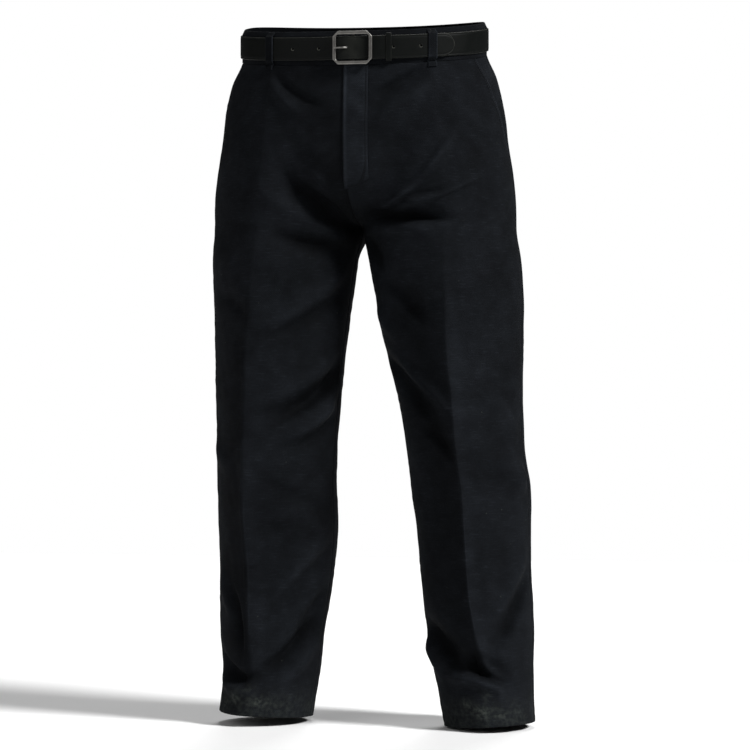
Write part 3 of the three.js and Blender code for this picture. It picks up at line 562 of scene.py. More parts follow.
def worn_nickel(name, colours):
    # Nickel-plated zinc, brushed flat and worn dull: soft grey with scratches and pits.
    material, tree, shader = new_material(name, Metallic=1.0)
    place = add_node(tree, "ShaderNodeTexCoord").outputs["Object"]
    long = add_node(tree, "ShaderNodeMapping", {"Vector": place, "Rotation": (0.0, 0.3, 0.0),
                    "Scale": (60.0, 60.0, 900.0)}).outputs[0]
    scratch = add_node(tree, "ShaderNodeTexNoise", {"Vector": long, "Scale": 1.0, "Detail": 6.0}).outputs["Fac"]
    cloud = add_node(tree, "ShaderNodeTexNoise", {"Vector": place, "Scale": 110.0, "Detail": 4.0}).outputs["Fac"]
    tone = add_node(tree, "ShaderNodeMix", {"Factor": cloud, "A": rgba(colours.metal, 0.45),
                    "B": rgba(colours.metal, 1.0)}, data_type="RGBA")
    rough = add_node(tree, "ShaderNodeMapRange", {"Value": scratch, "To Min": 0.26, "To Max": 0.6}).outputs[0]
    bump_node = add_node(tree, "ShaderNodeBump", {"Height": scratch, "Strength": 0.15, "Distance": 0.0002})
    tree.links.new(tone.outputs["Result"], shader.inputs["Base Color"])
    tree.links.new(rough, shader.inputs["Roughness"])
    tree.links.new(bump_node.outputs["Normal"], shader.inputs["Normal"])
    return material


def plain_weave(name, colour, spacing):
    # Polyester tape, thread and lining: an even fine weave, darker between the yarns.
    material, tree, shader = new_material(name, Roughness=0.7)
    shader.inputs["Specular IOR Level"].default_value = 0.1
    place = add_node(tree, "ShaderNodeTexCoord").outputs["Object"]
    yarn = add_node(tree, "ShaderNodeTexNoise", {"Vector": place, "Scale": 1 / spacing, "Detail": 2.0}).outputs["Fac"]
    tone = add_node(tree, "ShaderNodeMix", {"Factor": yarn, "A": rgba(colour, 0.7), "B": rgba(colour, 1.3)},
                    data_type="RGBA")
    bump_node = add_node(tree, "ShaderNodeBump", {"Height": yarn, "Strength": 0.2, "Distance": 0.0002})
    tree.links.new(tone.outputs["Result"], shader.inputs["Base Color"])
    tree.links.new(bump_node.outputs["Normal"], shader.inputs["Normal"])
    return material


def grid_quads(rows, cols, wrap=False, start=0):
    """Quads of a grid of points, row by row. Wrapped, the last column joins the first."""
    i, j = np.meshgrid(np.arange(rows - 1), np.arange(cols if wrap else cols - 1), indexing="ij")
    ahead = (j + 1) % cols
    quads = np.stack([i * cols + j, i * cols + ahead, (i + 1) * cols + ahead, (i + 1) * cols + j], axis=-1)
    return quads.reshape(-1, 4) + start


def make_piece(name, points, quads, material, uv=None, fields=None, caps=()):
    """Puts a closed surface into a mesh, facing outwards, with its cut plan and fields."""
    points = points.reshape(-1, 3)
    quads = np.asarray(quads)
    corner = points[quads]
    volume = np.einsum("ni,ni->", corner[:, 0], np.cross(corner[:, 1], corner[:, 2]))
    volume += np.einsum("ni,ni->", corner[:, 0], np.cross(corner[:, 2], corner[:, 3]))
    if volume < 0:
        quads = quads[:, ::-1]
    faces = quads.tolist() + [list(cap if volume > 0 else cap[::-1]) for cap in caps]
    mesh = bpy.data.meshes.new(name)
    mesh.from_pydata((points * MM).tolist(), [], faces)
    mesh.polygons.foreach_set("use_smooth", np.ones(len(mesh.polygons), bool))
    if uv is not None:
        layer = mesh.uv_layers.new(name="Cut")
        order = np.empty(len(mesh.loops), np.int32)
        mesh.loops.foreach_get("vertex_index", order)
        layer.data.foreach_set("uv", (uv.reshape(-1, 2)[order] * MM).astype(np.float32).ravel())
    for key, values in (fields or {}).items():
        mesh.attributes.new(key, "FLOAT", "POINT").data.foreach_set("value", values.astype(np.float32).ravel())
    mesh.update()
    mesh.validate()
    mesh.materials.append(material)
    piece = bpy.data.objects.new(name, mesh)
    bpy.context.scene.collection.objects.link(piece)
    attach(piece, "root")
    return piece


def wall(name, outer, inner, material, uv=None, fields=None):
    """A closed wall: an outer and an inner grid, joined all round their rims."""
    rows, cols = outer.shape[:2]
    count = rows * cols
    along, down = np.arange(cols), np.arange(rows) * cols
    rims = []
    for line in (along, along[::-1] + (rows - 1) * cols, down[::-1], down + cols - 1):
        a, b = line[:-1], line[1:]
        rims.append(np.stack([b, a, a + count, b + count], axis=-1))
    quads = np.concatenate([grid_quads(rows, cols), grid_quads(rows, cols, start=count)[:, ::-1], *rims])
    if uv is not None:
        uv = np.concatenate([uv, uv])
    if fields:
        fields = {key: np.concatenate([values, values]) for key, values in fields.items()}
    return make_piece(name, np.concatenate([outer, inner]), quads, material, uv, fields)


def loft(name, rings, material, closed=False, fields=None, uv=None):
    """A solid skinned over rings of points. Its ends are capped, or joined where it is closed."""
    count, cols = rings.shape[:2]
    quads = grid_quads(count, cols, wrap=True)
    caps = ()
    if closed:
        last = (count - 1) * cols + np.arange(cols)
        ahead = (count - 1) * cols + (np.arange(cols) + 1) % cols
        first = np.arange(cols)
        quads = np.concatenate([quads, np.stack([last, ahead, (first + 1) % cols, first], axis=-1)])
    else:
        caps = (list(range(cols)), list(range((count - 1) * cols, count * cols))[::-1])
    return make_piece(name, rings, quads, material, uv, fields, caps)


def through(knots, step):
    """A smooth line through knots: cubic Hermite pieces with slopes from the neighbours' chords."""
    knots = np.asarray(knots, float)
    at = np.concatenate([[0], np.cumsum(np.linalg.norm(np.diff(knots[:, :2], axis=0), axis=1))])
    slope = np.gradient(knots, at, axis=0)
    s = np.linspace(0, at[-1], int(at[-1] / step) + 2)
    i = np.clip(np.searchsorted(at, s, side="right") - 1, 0, len(at) - 2)
    span = (at[i + 1] - at[i])[:, None]
    t = (s - at[i])[:, None] / span
    return hermite(t, span, knots[i], knots[i + 1], slope[i], slope[i + 1])


def edge_roll(distance, thick):
    """How far each face of a sheet draws in near its edge, along a half circle."""
    near = 1 - np.clip(2 * distance / thick, 0, 1)
    return thick / 2 * (1 - np.sqrt(np.maximum(0, 1 - near**2)))


def with_edges(middle, span, thick):
    """Lines from 0 to 1, with more close to both ends where an edge rolls over."""
    close = np.array([0, 0.06, 0.22, 0.5]) * thick / span
    middle = middle[(middle > 2 * close[-1]) & (middle < 1 - 2 * close[-1])]
    return np.concatenate([close, middle, 1 - close[::-1]])


CREASE_AT = columns("z left right", (0, 0.51, 0.53), (-385, 0.49, 0.53), (-655, 0.51, 0.53), (-832, 0.5, 0.55),
                    (-901, 0.45, 0.56), (-943, 0.36, 0.57), (-1020, 0.32, 0.56))
CREASE_GROWS = columns("down left right", (30, 0.3, 0.3), (180, 0.3, 0.45), (330, 0.45, 0.65), (480, 1, 1),
                       (860, 1.15, 1), (950, 0.8, 0.5), (1020, 0.6, 0.4))
POCKET = {"top_u": 0.165, "bottom": -175.0}
# Rows and columns of each cloth piece's grid.
GRID = {"panel": (330, 122), "facing": (60, 36), "flap": (110, 26)}
# Small ridges and, below 0, grooves beside an edge or a seam: height, distance from it, and width.
# The ones that change colour, not height, are painted: above 0 they add painted highlights to the cloth, below 0 they
# make it darker along seams and stitch lines.
RIDGES = {
    "mouth": (0.3, 1.5, 1.6),
    "mouth stitches": (-0.35, 6, 0.9),
    "mouth highlight": (1.1, 1.2, 1.3),
    "mouth stitches darker": (-0.4, 6, 0.8),
    "seam": (-0.8, 0, 2.2),
    "seam darker": (-0.35, 0, 1.6),
    "facing seam": (-0.6, 0, 2.2),
    "hem": (-0.35, 0, 1.4),
    "flap edge": (0.9, -1, 2.2),
    "flap join": (-0.45, 0, 2),
    "flap stitches": (-0.5, 0, 1.3),
    "flap beside": (0.25, -4, 2.5),
    "flap edge highlight": (1.6, -0.4, 1.8),
    "flap stitches darker": (-0.55, 0, 1.2),
    "flap beside highlight": (0.3, 2.2, 1.2),
    "loop left highlight": (1.8, 6.2, 0.8),
    "loop right highlight": (0.7, -6.2, 0.8),
}
# Painted light and shade for each mm of a fold's height: ridges painted paler, troughs painted darker. Folds fade out
# over 1/12 of the width beside each seam.
FOLD_SHADING = 0.06
CALM = 12
# The pressed crease falls away from its line, which is slightly rounded.
PRESS = {"round": 1.2, "start": 1.1, "fades": 26}


def ridge(name, distance):
    """A small ridge's height: a bell across its distance from an edge."""
    high, at, width = RIDGES[name]
    return high * bump((distance - at) / width)


def pocket_mouth(z):
    """Where a slant pocket's mouth crosses a front panel: a straight line in u and z."""
    return POCKET["top_u"] * np.clip((z - POCKET["bottom"]) / (BAND_BOTTOM - POCKET["bottom"]), 0, 1)


def cloth_height(side, panel, u, z, sizes):
    """Folds, unevenness and the pressed crease, as a height off the plain section."""
    crease_u = np.interp(-z, -CREASE_AT["z"], CREASE_AT[side]) if panel == "front" else 0.5
    off = (u - crease_u) * PANEL_SPAN
    sharp = np.exp(-(np.sqrt(off**2 + PRESS["round"]) - PRESS["start"]) / PRESS["fades"])
    pressed = sizes.crease / MM * np.interp(-z, CREASE_GROWS["down"], CREASE_GROWS[side]) * sharp
    calm = smooth(u * CALM) * smooth((1 - u) * CALM)
    folds = fold_height(side, panel, u, z) * sizes.fold_depth
    seed = SIDES.index(side) * 2 + PANELS.index(panel)
    low = smooth((-z - 30) / 60)
    # Broad and small unevenness, then short creases across the leg, in patches.
    uneven = 1.3 * ripple(seed, u, z, 50, 140) + 0.5 * ripple(seed + 9, u, z, 18, 40)
    creased = 0.5 * ripple(seed + 20, 0.3 * u, z, 9, 20) * smooth(0.5 + 1.6 * ripple(seed + 30, u, z, 60, 120))
    return calm * (folds + low * (uneven + creased)) + pressed


def row_distance(points):
    """Distance along each row of points, from its first."""
    steps = np.linalg.norm(np.diff(points, axis=1), axis=2)
    return np.concatenate([np.zeros((len(points), 1)), np.cumsum(steps, axis=1)], axis=1)


def make_panel(side, panel, sizes, material):
    """One of the four main panels: its section, with folds, seam edges and a turned-up hem."""
    top, hem = BAND_BOTTOM + SEAM_LAP, HEM[side]
    rows, cols = GRID["panel"]
    down = with_edges(np.linspace(0, 1, rows), top - hem, 2 * CLOTH)
    across = with_edges(np.linspace(0, 1, cols), PANEL_SPAN, CLOTH)
    z, c = np.meshgrid(lerp(top, hem, down), across, indexing="ij")
    edge = (pocket_mouth(z) if panel == "front" else 0) + SEAM_INSET
    u = np.where(c < 0.5, lerp(edge, 0.5, 2 * c), lerp(0.5, 1 - SEAM_INSET, 2 * c - 1))
    base = body_point(side, panel, u, z)
    normal = body_normal(side, panel, u, z)
    distance = row_distance(base)
    width = distance[:, -1:]
    near_edge = np.minimum(distance, width - distance)
    near_end = np.minimum(top - z, z - hem)
    turn = sizes.hem_turn / MM
    thick = CLOTH * (1 + smooth((hem + turn - z) / 2 + 0.5))
    roll = np.maximum(edge_roll(near_edge, CLOTH), edge_roll(near_end, thick))
    mouth = (z > POCKET["bottom"]) & (panel == "front") & (c < 0.5)
    mouth_edge = ridge("mouth", distance) + ridge("mouth stitches", distance)
    seam = np.where(mouth, mouth_edge, ridge("seam", near_edge))
    out = cloth_height(side, panel, u, z, sizes) + seam + ridge("hem", z - hem - turn)
    outer = base + normal * (out - roll)[..., None]
    inner = base + normal * (out - thick + roll)[..., None]
    # The centre seam's edges are drawn to the middle plane, also where the cloth curves under to the crotch.
    way = 1 if side == "left" else -1
    for face in (outer, inner):
        apart = np.maximum(way * face[:, -1:, 0] + SEAM_LAP, 0) * smooth((z[:, -1:] - CROTCH) / 6 + 1)
        drawn = way * face[..., 0] - apart * bump((1 - u) * PANEL_SPAN / 5)
        face[..., 0] = way * np.maximum(drawn, -SEAM_LAP)
    # Painted light and shade, made darker along the seams except at the pocket mouth.
    painted_light_and_wear = painted_shading_field(side, panel, u, z, distance) * (1 + ridge("seam darker", near_edge) * ~mouth)
    lay = CUT_APART * (2 * SIDES.index(side) + PANELS.index(panel))
    piece = wall(panel + "_panel_" + side, outer, inner, material,
                 np.stack([distance - width / 2 + lay, z], axis=-1),
                 {"dust": dust_field(side, panel, u, z), "painted_light_and_wear": painted_light_and_wear})
    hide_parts(panel + "_" + side)
    return piece


DUST_SPOTS = {
    "left": columns("u z wide high share", (0.5, -994, 22, 9, 0.9), (0.62, -982, 12, 7, 0.6),
                    (0.36, -1000, 12, 7, 0.5), (0.44, -968, 9, 6, 0.4)),
    "right": columns("u z wide high share", (0.44, -984, 16, 8, 0.8), (0.64, -988, 18, 8, 0.7),
                     (0.56, -966, 10, 6, 0.3), (0.3, -990, 8, 6, 0.5)),
}


def dust_field(side, panel, u, z):
    """How dusty the cloth is: a paler hem, and on the front soft spots, each a bell across and down."""
    low = smooth((HEM[side] + 60 - z) / 60) * (0.28 + 0.3 * ripple(41 + SIDES.index(side), u, z, 25, 80))
    if panel == "back":
        return np.clip(low, 0, 1)
    spots = {key: value[:, None, None] for key, value in DUST_SPOTS[side].items()}
    near = np.hypot((u - spots["u"]) * PANEL_SPAN / spots["wide"], (z - spots["z"]) / spots["high"])
    return np.clip(low + np.sum(spots["share"] * bump(near), axis=0), 0, 1)


def painted_shading_field(side, panel, u, z, distance):
    """Painted light and shade on the cloth: folds' ridges and the lower crease up as painted highlights, troughs down
    as painted shade, and pocket edges up as painted highlights.
    """
    share = 1 + FOLD_SHADING * fold_height(side, panel, u, z)
    if panel == "back":
        return np.clip(share, 0.35, 1.6)
    crease_u = np.interp(-z, -CREASE_AT["z"], CREASE_AT[side])
    past = (u - crease_u) * PANEL_SPAN * (1 if side == "right" else -1)
    lower = smooth((-z - 360) / 160) * smooth((z + 960) / 60)
    # A painted highlight along the lower crease.
    line = bump(past / 1.6) * smooth((-z - 660) / 60) * smooth((z + 900) / 40)
    # Past a crease the cloth is painted paler as a highlight, and short of it painted darker as shade. It is painted
    # darker again towards the inner leg, as shade.
    beside = 0.24 * bump((past - 13) / 13) - 0.34 * smooth(-past / 10) * smooth((past + 95) / 60)
    share = share + lower * (0.8 * line + beside)
    share = share - (0.22 if side == "right" else 0.12) * smooth((past - 30) / 60) * smooth((z + 860) / 200)
    # Painted shade round the crotch.
    share = share - 0.7 * bump(np.hypot((1 - u) * PANEL_SPAN / 42, (z - CROTCH + 3) / 28))
    # Painted highlights along the pocket mouth's edge, and darker along its stitches.
    mouth = (z > POCKET["bottom"]) & (u < 0.5)
    edge = ridge("mouth highlight", distance) + ridge("mouth stitches darker", distance)
    return np.clip(share + np.where(mouth, edge, 0), 0.35, 2.2)


def clean_fields(like, painted_light_and_wear):
    """The cloth's fields where it is clean: no dust, and its painted light and shade."""
    return {"dust": np.zeros_like(like), "painted_light_and_wear": np.broadcast_to(painted_light_and_wear, like.shape)}


RING_STEPS = 264
STRAP = {"width": 34.0, "thick": 2.4, "on_band": 1.6, "over": 2.7}


def waist_ring():
    """The waistband's face at the belt line: x, y, u and the distance round from the centre front."""
    u = np.linspace(0, 1, RING_STEPS + 1)
    x, y = [], []
    for side, panel, way in (("left", "front", -1), ("left", "back", 1), ("right", "back", -1),
                             ("right", "front", 1)):
        px, py = section_point(side, panel, u[::way], 0.0)
        x.append(px[:-1] if side == "left" else -px[:-1])
        y.append(py[:-1])
    x, y = np.concatenate([*x, [x[0][0]]]), np.concatenate([*y, [y[0][0]]])
    at = np.concatenate([[0], np.cumsum(np.hypot(np.diff(x), np.diff(y)))])
    return x, y, at


RING_X, RING_Y, RING_AT = waist_ring()
WAIST = RING_AT[-1]


def ring_place(at):
    """x and y at a distance round the waist."""
    at = np.mod(at, WAIST)
    return np.interp(at, RING_AT, RING_X), np.interp(at, RING_AT, RING_Y)


def waist_point(at, out, up):
    """A point round the waist, out from the waistband's face, and up from the belt line."""
    at, out, up = np.broadcast_arrays(*(np.asarray(value, float) for value in (at, out, up)))
    x0, y0 = ring_place(at - 3)
    x1, y1 = ring_place(at + 3)
    x, y = ring_place(at)
    length = np.hypot(x1 - x0, y1 - y0)
    face = out + BAND_PROUD
    return np.stack([x + (y1 - y0) / length * face, y + (x0 - x1) / length * face, up + waist_rise(y)], axis=-1)


def waist_frame(at):
    """Origin and the three directions (round, up, outward) at a place round the waist."""
    origin = waist_point(at, 0, 0)
    outward = unit(waist_point(at, 1, 0) - origin)
    up = np.array([0.0, 0.0, 1.0])
    return origin, np.cross(up, outward), up, outward


def place(local, at):
    """Points given as round, up and outward, moved to a place round the waist."""
    origin, across, up, outward = waist_frame(at)
    return origin + local[..., :1] * across + local[..., 1:2] * up + local[..., 2:] * outward


BAND_HEIGHTS = np.array([26, 25.9, 25.6, 25, 24, 22, 20.5, 19.4, 18.6, 17.8, 15, 10, 4, -2, -8, -14, -18,
                         -21, -22.8, -23.5, -23.85, -24])
BAND_LEAN = columns("down out", (-26, -3.5), (-19, -0.2), (-17.8, 0), (24, 0))


def make_waistband(side, material):
    """Half of the waistband: its upright profile, leaning in at the top, carried round the waist."""
    lean = np.interp(-BAND_HEIGHTS, BAND_LEAN["down"], BAND_LEAN["out"])
    sign = 1 if side == "left" else -1
    at = sign * with_edges(np.linspace(0, 1, 240), WAIST / 2, BAND_CLOTH) * WAIST / 2
    z, a = np.meshgrid(BAND_HEIGHTS, at, indexing="ij")
    near_end = np.minimum(BAND_TOP - z, z - BAND_BOTTOM)
    near_side = np.minimum(np.abs(a), WAIST / 2 - np.abs(a))
    roll = np.maximum(edge_roll(near_end, BAND_CLOTH), edge_roll(near_side, BAND_CLOTH))
    out = lean[:, None] + 0.25 * ripple(70, a / PANEL_SPAN, z, 40, 110) * smooth((20 - z) / 20)
    outer = waist_point(a, out - roll, z)
    inner = waist_point(a, out - BAND_CLOTH + roll, z)
    for face in (outer, inner):
        face[:, [0, -1], 0] = -sign * SEAM_LAP
    piece = wall("waistband_" + side + "_band", outer, inner, material,
                 np.stack([a, z], axis=-1), clean_fields(z, 0.75))
    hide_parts("waistband_" + side)
    return piece


def cloth_point(side, panel, u, z, lift, sizes):
    """A point of the folded cloth, a distance out from its outer face."""
    height = cloth_height(side, panel, u, z, sizes) + lift
    return body_point(side, panel, u, z) + body_normal(side, panel, u, z) * height[..., None]


FACING = {"long": 150, "wide": 60, "shown": 0.6, "behind": 0.05, "gap": 0.5, "dips": 0.42}


def make_facing(side, sizes, material):
    """The cloth behind a pocket's mouth: flush at the side seam, then under the front panel."""
    rows, cols = GRID["facing"]
    down = with_edges(np.linspace(0, 1, rows), FACING["long"], CLOTH)
    across = with_edges(np.linspace(0, 1, cols), FACING["wide"], CLOTH)
    z, c = np.meshgrid(lerp(BAND_BOTTOM + SEAM_LAP, POCKET["bottom"] + 2, down), across, indexing="ij")
    mouth = pocket_mouth(z)
    shown = FACING["shown"]
    u = np.where(c < shown, lerp(SEAM_INSET, mouth, c / shown), mouth + FACING["behind"] * (c - shown) / (1 - shown))
    under = (CLOTH + FACING["gap"]) * smooth(c / FACING["dips"])
    base = body_point(side, "front", u, z)
    normal = body_normal(side, "front", u, z)
    distance = row_distance(base)
    roll = edge_roll(np.minimum(distance, distance[:, -1:] - distance), CLOTH)
    out = cloth_height(side, "front", u, z, sizes) - under + ridge("facing seam", distance)
    piece = wall("pocket_facing_cloth_" + side, base + normal * (out - roll)[..., None],
                 base + normal * (out - CLOTH + roll)[..., None], material,
                 np.stack([distance, z], axis=-1), clean_fields(z, 1.0))
    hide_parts("pocket_facing_" + side)
    return piece


def front_u(z, distance):
    """u of the front panel at a distance from the centre front, found by halving."""
    low, high = np.full(np.shape(z), 0.5), np.ones(np.shape(z))
    for _ in range(26):
        middle = (low + high) / 2
        far = section_point("left", "front", middle, z)[0] > distance
        low, high = np.where(far, middle, low), np.where(far, high, middle)
    return low


FLY = {"overlap": 3.5, "width": 33.0, "long": 190, "bottom": -223.0, "corner": -207.0, "lift": 0.5}
FLY_SEAM = {"across": 30.5, "turns": -165.0, "deep": 56.0, "point": 0.6}


def off_fly_seam(distance, z):
    """About how far a point of the fly lies outside its J-shaped stitch line."""
    across = np.maximum(distance, 0) / FLY_SEAM["across"]
    deep = np.maximum(FLY_SEAM["turns"] - z, 0) / FLY_SEAM["deep"]
    return (np.hypot(across ** (1 / FLY_SEAM["point"]), deep) - 1) * FLY_SEAM["across"] * FLY_SEAM["point"]


def fly_point(distance, z, lift, sizes):
    """A point over the fly, a signed distance from the centre front towards the wearer's left."""
    u = front_u(z, np.abs(distance))
    left = cloth_point("left", "front", u, z, lift, sizes)
    right = cloth_point("right", "front", u, z, lift, sizes)
    return np.where((distance < 0)[..., None], right, left)


def make_flap(sizes, material):
    """The fly's flap: its free edge laps over the centre, and its foot slants up to the stitching."""
    rows, cols = GRID["flap"]
    down = with_edges(np.linspace(0, 1, rows), FLY["long"], CLOTH)
    across = with_edges(np.linspace(0, 1, cols), FLY["width"], CLOTH)
    t, c = np.meshgrid(down, across, indexing="ij")
    distance = lerp(-FLY["overlap"], FLY["width"], c)
    foot = lerp(FLY["bottom"], FLY["corner"], c**1.5)
    z = lerp(BAND_BOTTOM + SEAM_LAP, foot, t)
    side_edge = np.minimum(c, 1 - c) * (FLY["width"] + FLY["overlap"])
    roll = np.maximum(edge_roll(side_edge, CLOTH), edge_roll(np.minimum(t, 1 - t) * FLY["long"], CLOTH))
    seam = off_fly_seam(distance, z)
    pressed = ridge("flap edge", distance) + ridge("flap join", (c - 1) * FLY["width"])
    pressed = pressed + ridge("flap stitches", seam) + ridge("flap beside", seam)
    # The flap is painted paler all over, and its free edge most of all as a painted highlight, fading down the fly.
    painted_light_and_wear = 1.6 + ridge("flap edge highlight", distance) * (0.4 + 0.6 * smooth((z + 150) / 70))
    # Its stitch line is made darker, with a painted highlight beside it.
    painted_light_and_wear = painted_light_and_wear + ridge("flap stitches darker", seam) + ridge("flap beside highlight", seam)
    puckers = 0.3 * np.sin(z / 7.3) * bump((c - 0.35) / 0.3) * smooth((-z - 60) / 50)
    out = FLY["lift"] + pressed + puckers
    piece = wall("fly_flap_cloth", fly_point(distance, z, out + CLOTH - roll, sizes),
                 fly_point(distance, z, out + roll, sizes), material,
                 np.stack([distance, z], axis=-1), clean_fields(z, painted_light_and_wear))
    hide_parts("fly_flap")
    return piece


def stitch_row(name, line, outward, sizes, material):
    """Stitches along a line: short six-sided capsules, set on the line end to end with small gaps."""
    steps = np.concatenate([[0], np.cumsum(np.linalg.norm(np.diff(line, axis=0), axis=1))])
    pitch = sizes.stitch / MM
    middle = np.arange(pitch / 2, steps[-1], pitch)
    at = np.stack([np.interp(middle, steps, line[:, k]) for k in range(3)], axis=-1)
    ahead = np.stack([np.interp(middle + 0.5, steps, line[:, k]) for k in range(3)], axis=-1)
    up = unit(np.stack([np.interp(middle, steps, outward[:, k]) for k in range(3)], axis=-1))
    along = unit(ahead - at + 1e-6)
    beside = unit(np.cross(up, along))
    reach = np.array([-0.38, -0.3, 0.0, 0.3, 0.38]) * pitch
    fat = np.array([0.05, 0.26, 0.32, 0.26, 0.05])
    angle = np.arange(6) * np.pi / 3
    ring = np.stack([np.cos(angle), np.sin(angle)], axis=-1)
    points = (at[:, None, None] + along[:, None, None] * reach[:, None, None]
              + beside[:, None, None] * (fat[:, None] * ring[:, 0])[..., None]
              + up[:, None, None] * (fat[:, None] * ring[:, 1] + 0.12)[..., None])
    one = grid_quads(5, 6, wrap=True)
    end = np.array([[3, 2, 1, 0], [5, 4, 3, 0], [24, 25, 26, 27], [24, 27, 28, 29]])
    one = np.concatenate([one, end])
    quads = (one + np.arange(len(middle))[:, None, None] * 30).reshape(-1, 4)
    return make_piece(name, points, quads, material)


# Half of the strap's face, from its middle to its edge: place across, and share of half its thickness.
STRAP_SECTION = columns("across face", (0, 1), (4, 1), (8, 1), (11, 1), (13.3, 0.98), (13.9, 0.84), (14.4, 0.66),
                        (14.9, 0.84), (15.5, 0.96), (16.1, 0.84), (16.6, 0.56), (16.9, 0.24), (17, 0))


def strap_profile():
    """The strap's whole section: place across in mm, and height from -1 (under) to 1 (face)."""
    across, face = STRAP_SECTION["across"], STRAP_SECTION["face"]
    up = np.concatenate([-across[::-1], across[1:], across[::-1][1:], -across[1:-1]])
    height = np.concatenate([face[::-1], face[1:], -np.minimum(face, 0.94)[::-1][1:], -face[1:-1]])
    return up, height


STRAP_START = [(51, 1.6), (32, 1.6), (17, 1.6), (9.3, 1.6), (7.7, 2.27), (7, 3.9), (7.7, 5.53), (9.3, 6.2),
               (15, 6.1), (25, 5.2), (38, 4.4), (49, 4.3), (57, 3.6), (68, 3.2), (80, 2.2), (95, 1.6)]
STRAP_END = [(-60, 1.6), (-40, 2.6), (-25, 5), (-15, 7), (-3, 8.4), (11, 8.9), (23, 8.1), (37, 7.1), (49, 7),
             (58, 6.4), (68, 5.9), (80, 4.9), (95, 4.3), (125, 4.3), (142, 4.3), (160, 4.3)]
TIP_ROUND = 20.0
HOLES = (-81.5, -40.0, 70.0, 109.0)
HOLE_RADIUS = 1.9


def strap_line(step):
    """The strap's middle line, as place round the waist and distance out: fold, turn, and end."""
    rest = [(at, STRAP["on_band"]) for at in np.arange(110, WAIST - 70, 12)]
    end = [(at + WAIST, out) for at, out in STRAP_END]
    return through(STRAP_START + rest + end, step)


def off_path(path, lift):
    """Both coordinates of points beside a flat path, each a distance square to it."""
    tangent = unit(np.gradient(path, axis=0))
    return path[:, :1] - tangent[:, 1:] * lift, path[:, 1:] + tangent[:, :1] * lift


def strap_rings(line, half_scale):
    """The strap's section carried along its line: across it up and down, and through it outwards."""
    up, height = strap_profile()
    return waist_point(*off_path(line, height * STRAP["thick"] / 2), up * half_scale[:, None])


def cut(piece, cutters):
    """Cuts closed shapes out of a piece with Boolean modifiers, and keeps the result as its mesh."""
    for cutter in cutters:
        modifier = piece.modifiers.new("cut", "BOOLEAN")
        modifier.operation = "DIFFERENCE"
        modifier.solver = "EXACT"
        modifier.object = cutter
    bpy.context.view_layer.update()
    mesh = bpy.data.meshes.new_from_object(piece.evaluated_get(bpy.context.evaluated_depsgraph_get()))
    piece.modifiers.clear()
    piece.data = mesh
    for cutter in cutters:
        bpy.data.objects.remove(cutter)


def peg(at, radius, low, high, sides=20):
    """A round peg through the strap, to cut a hole with."""
    angle = turns(sides)
    ring = np.stack([radius * np.cos(angle), radius * np.sin(angle)], axis=-1)
    local = np.stack([np.concatenate([ring, np.full((sides, 1), out)], axis=1) for out in (low, high)])
    points = place(local, at).reshape(-1, 3) * MM
    quads = grid_quads(2, sides, wrap=True).tolist()
    mesh = bpy.data.meshes.new("peg")
    mesh.from_pydata(points.tolist(), [], quads + [list(range(sides))[::-1], list(range(sides, 2 * sides))])
    cutter = bpy.data.objects.new("peg", mesh)
    bpy.context.scene.collection.objects.link(cutter)
    return cutter


def hole_height(at):
    """How far out from the waistband the strap's middle lies at one of its holes."""
    end = np.array(STRAP_END)
    if at < -60:
        return STRAP["on_band"]
    return float(np.interp(at, end[:, 0], end[:, 1]))


def make_strap(material):
    """The belt's strap, with pressed lines along its edges, punched holes and a round tip."""
    line = strap_line(2.2)
    from_tip = np.maximum(line[-1, 0] - line[:, 0], 0)
    # Only the far end is round: the near end is folded round the buckle's bar.
    from_tip[: len(line) // 2] = TIP_ROUND
    ahead = 1 - np.minimum(from_tip / TIP_ROUND, 1)
    scale = np.sqrt(np.maximum(1 - ahead**2, 0.01))
    share = np.linspace(0, 1, 14)[1:] * np.pi / 2
    rounded = line[-1, 0] - TIP_ROUND * (1 - np.sin(share))
    keep = from_tip >= TIP_ROUND
    line = np.concatenate([line[keep], np.stack([rounded, np.full_like(rounded, line[-1, 1])], axis=1)])
    scale = np.concatenate([scale[keep], np.maximum(np.cos(share), 0.05)])
    rings = strap_rings(line, scale)
    up = strap_profile()[0]
    along = np.clip((line[:, :1] - line[-1, 0] + TIP_ROUND) / TIP_ROUND, 0, 1)
    reach = np.hypot(along, up * scale[:, None] * 2 / STRAP["width"])
    edge = np.clip((reach - 0.93) / 0.05, 0, 1)
    bend = bump((line[:, :1] - WAIST - 11) / 14) + bump((line[:, :1] - 8) / 8)
    # The edges are paler from wear, the top edge more than the lower one as a painted highlight, and the bends at the
    # buckle are worn.
    wear_and_highlight = np.clip((0.5 + 0.25 * np.sign(up) + 0.4 * (along > 0)) * edge + 0.3 * bend, 0, 1)
    strap = loft("belt_strap_leather", rings, material, fields={"wear_and_highlight": wear_and_highlight})
    pegs = [peg(at, HOLE_RADIUS, hole_height(at) - (6 if at < 0 else 2.2), hole_height(at) + 4) for at in HOLES]
    cut(strap, pegs)
    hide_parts("belt_strap")


RIM_STEPS = 24


def rim_rings(at, radius, tube, out):
    """Rings of a flattened torus round a hole, lying on the strap."""
    a, b = np.meshgrid(turns(RIM_STEPS), turns(8), indexing="ij")
    reach = radius + tube * np.cos(b)
    return place(np.stack([reach * np.cos(a), reach * np.sin(a), out + 0.5 * tube * np.sin(b)], axis=-1), at)


KEEPER = {"at": 63.0, "width": 8.0, "height": 42.0, "wall": 1.2, "back": 0.4, "inside": 5.9}


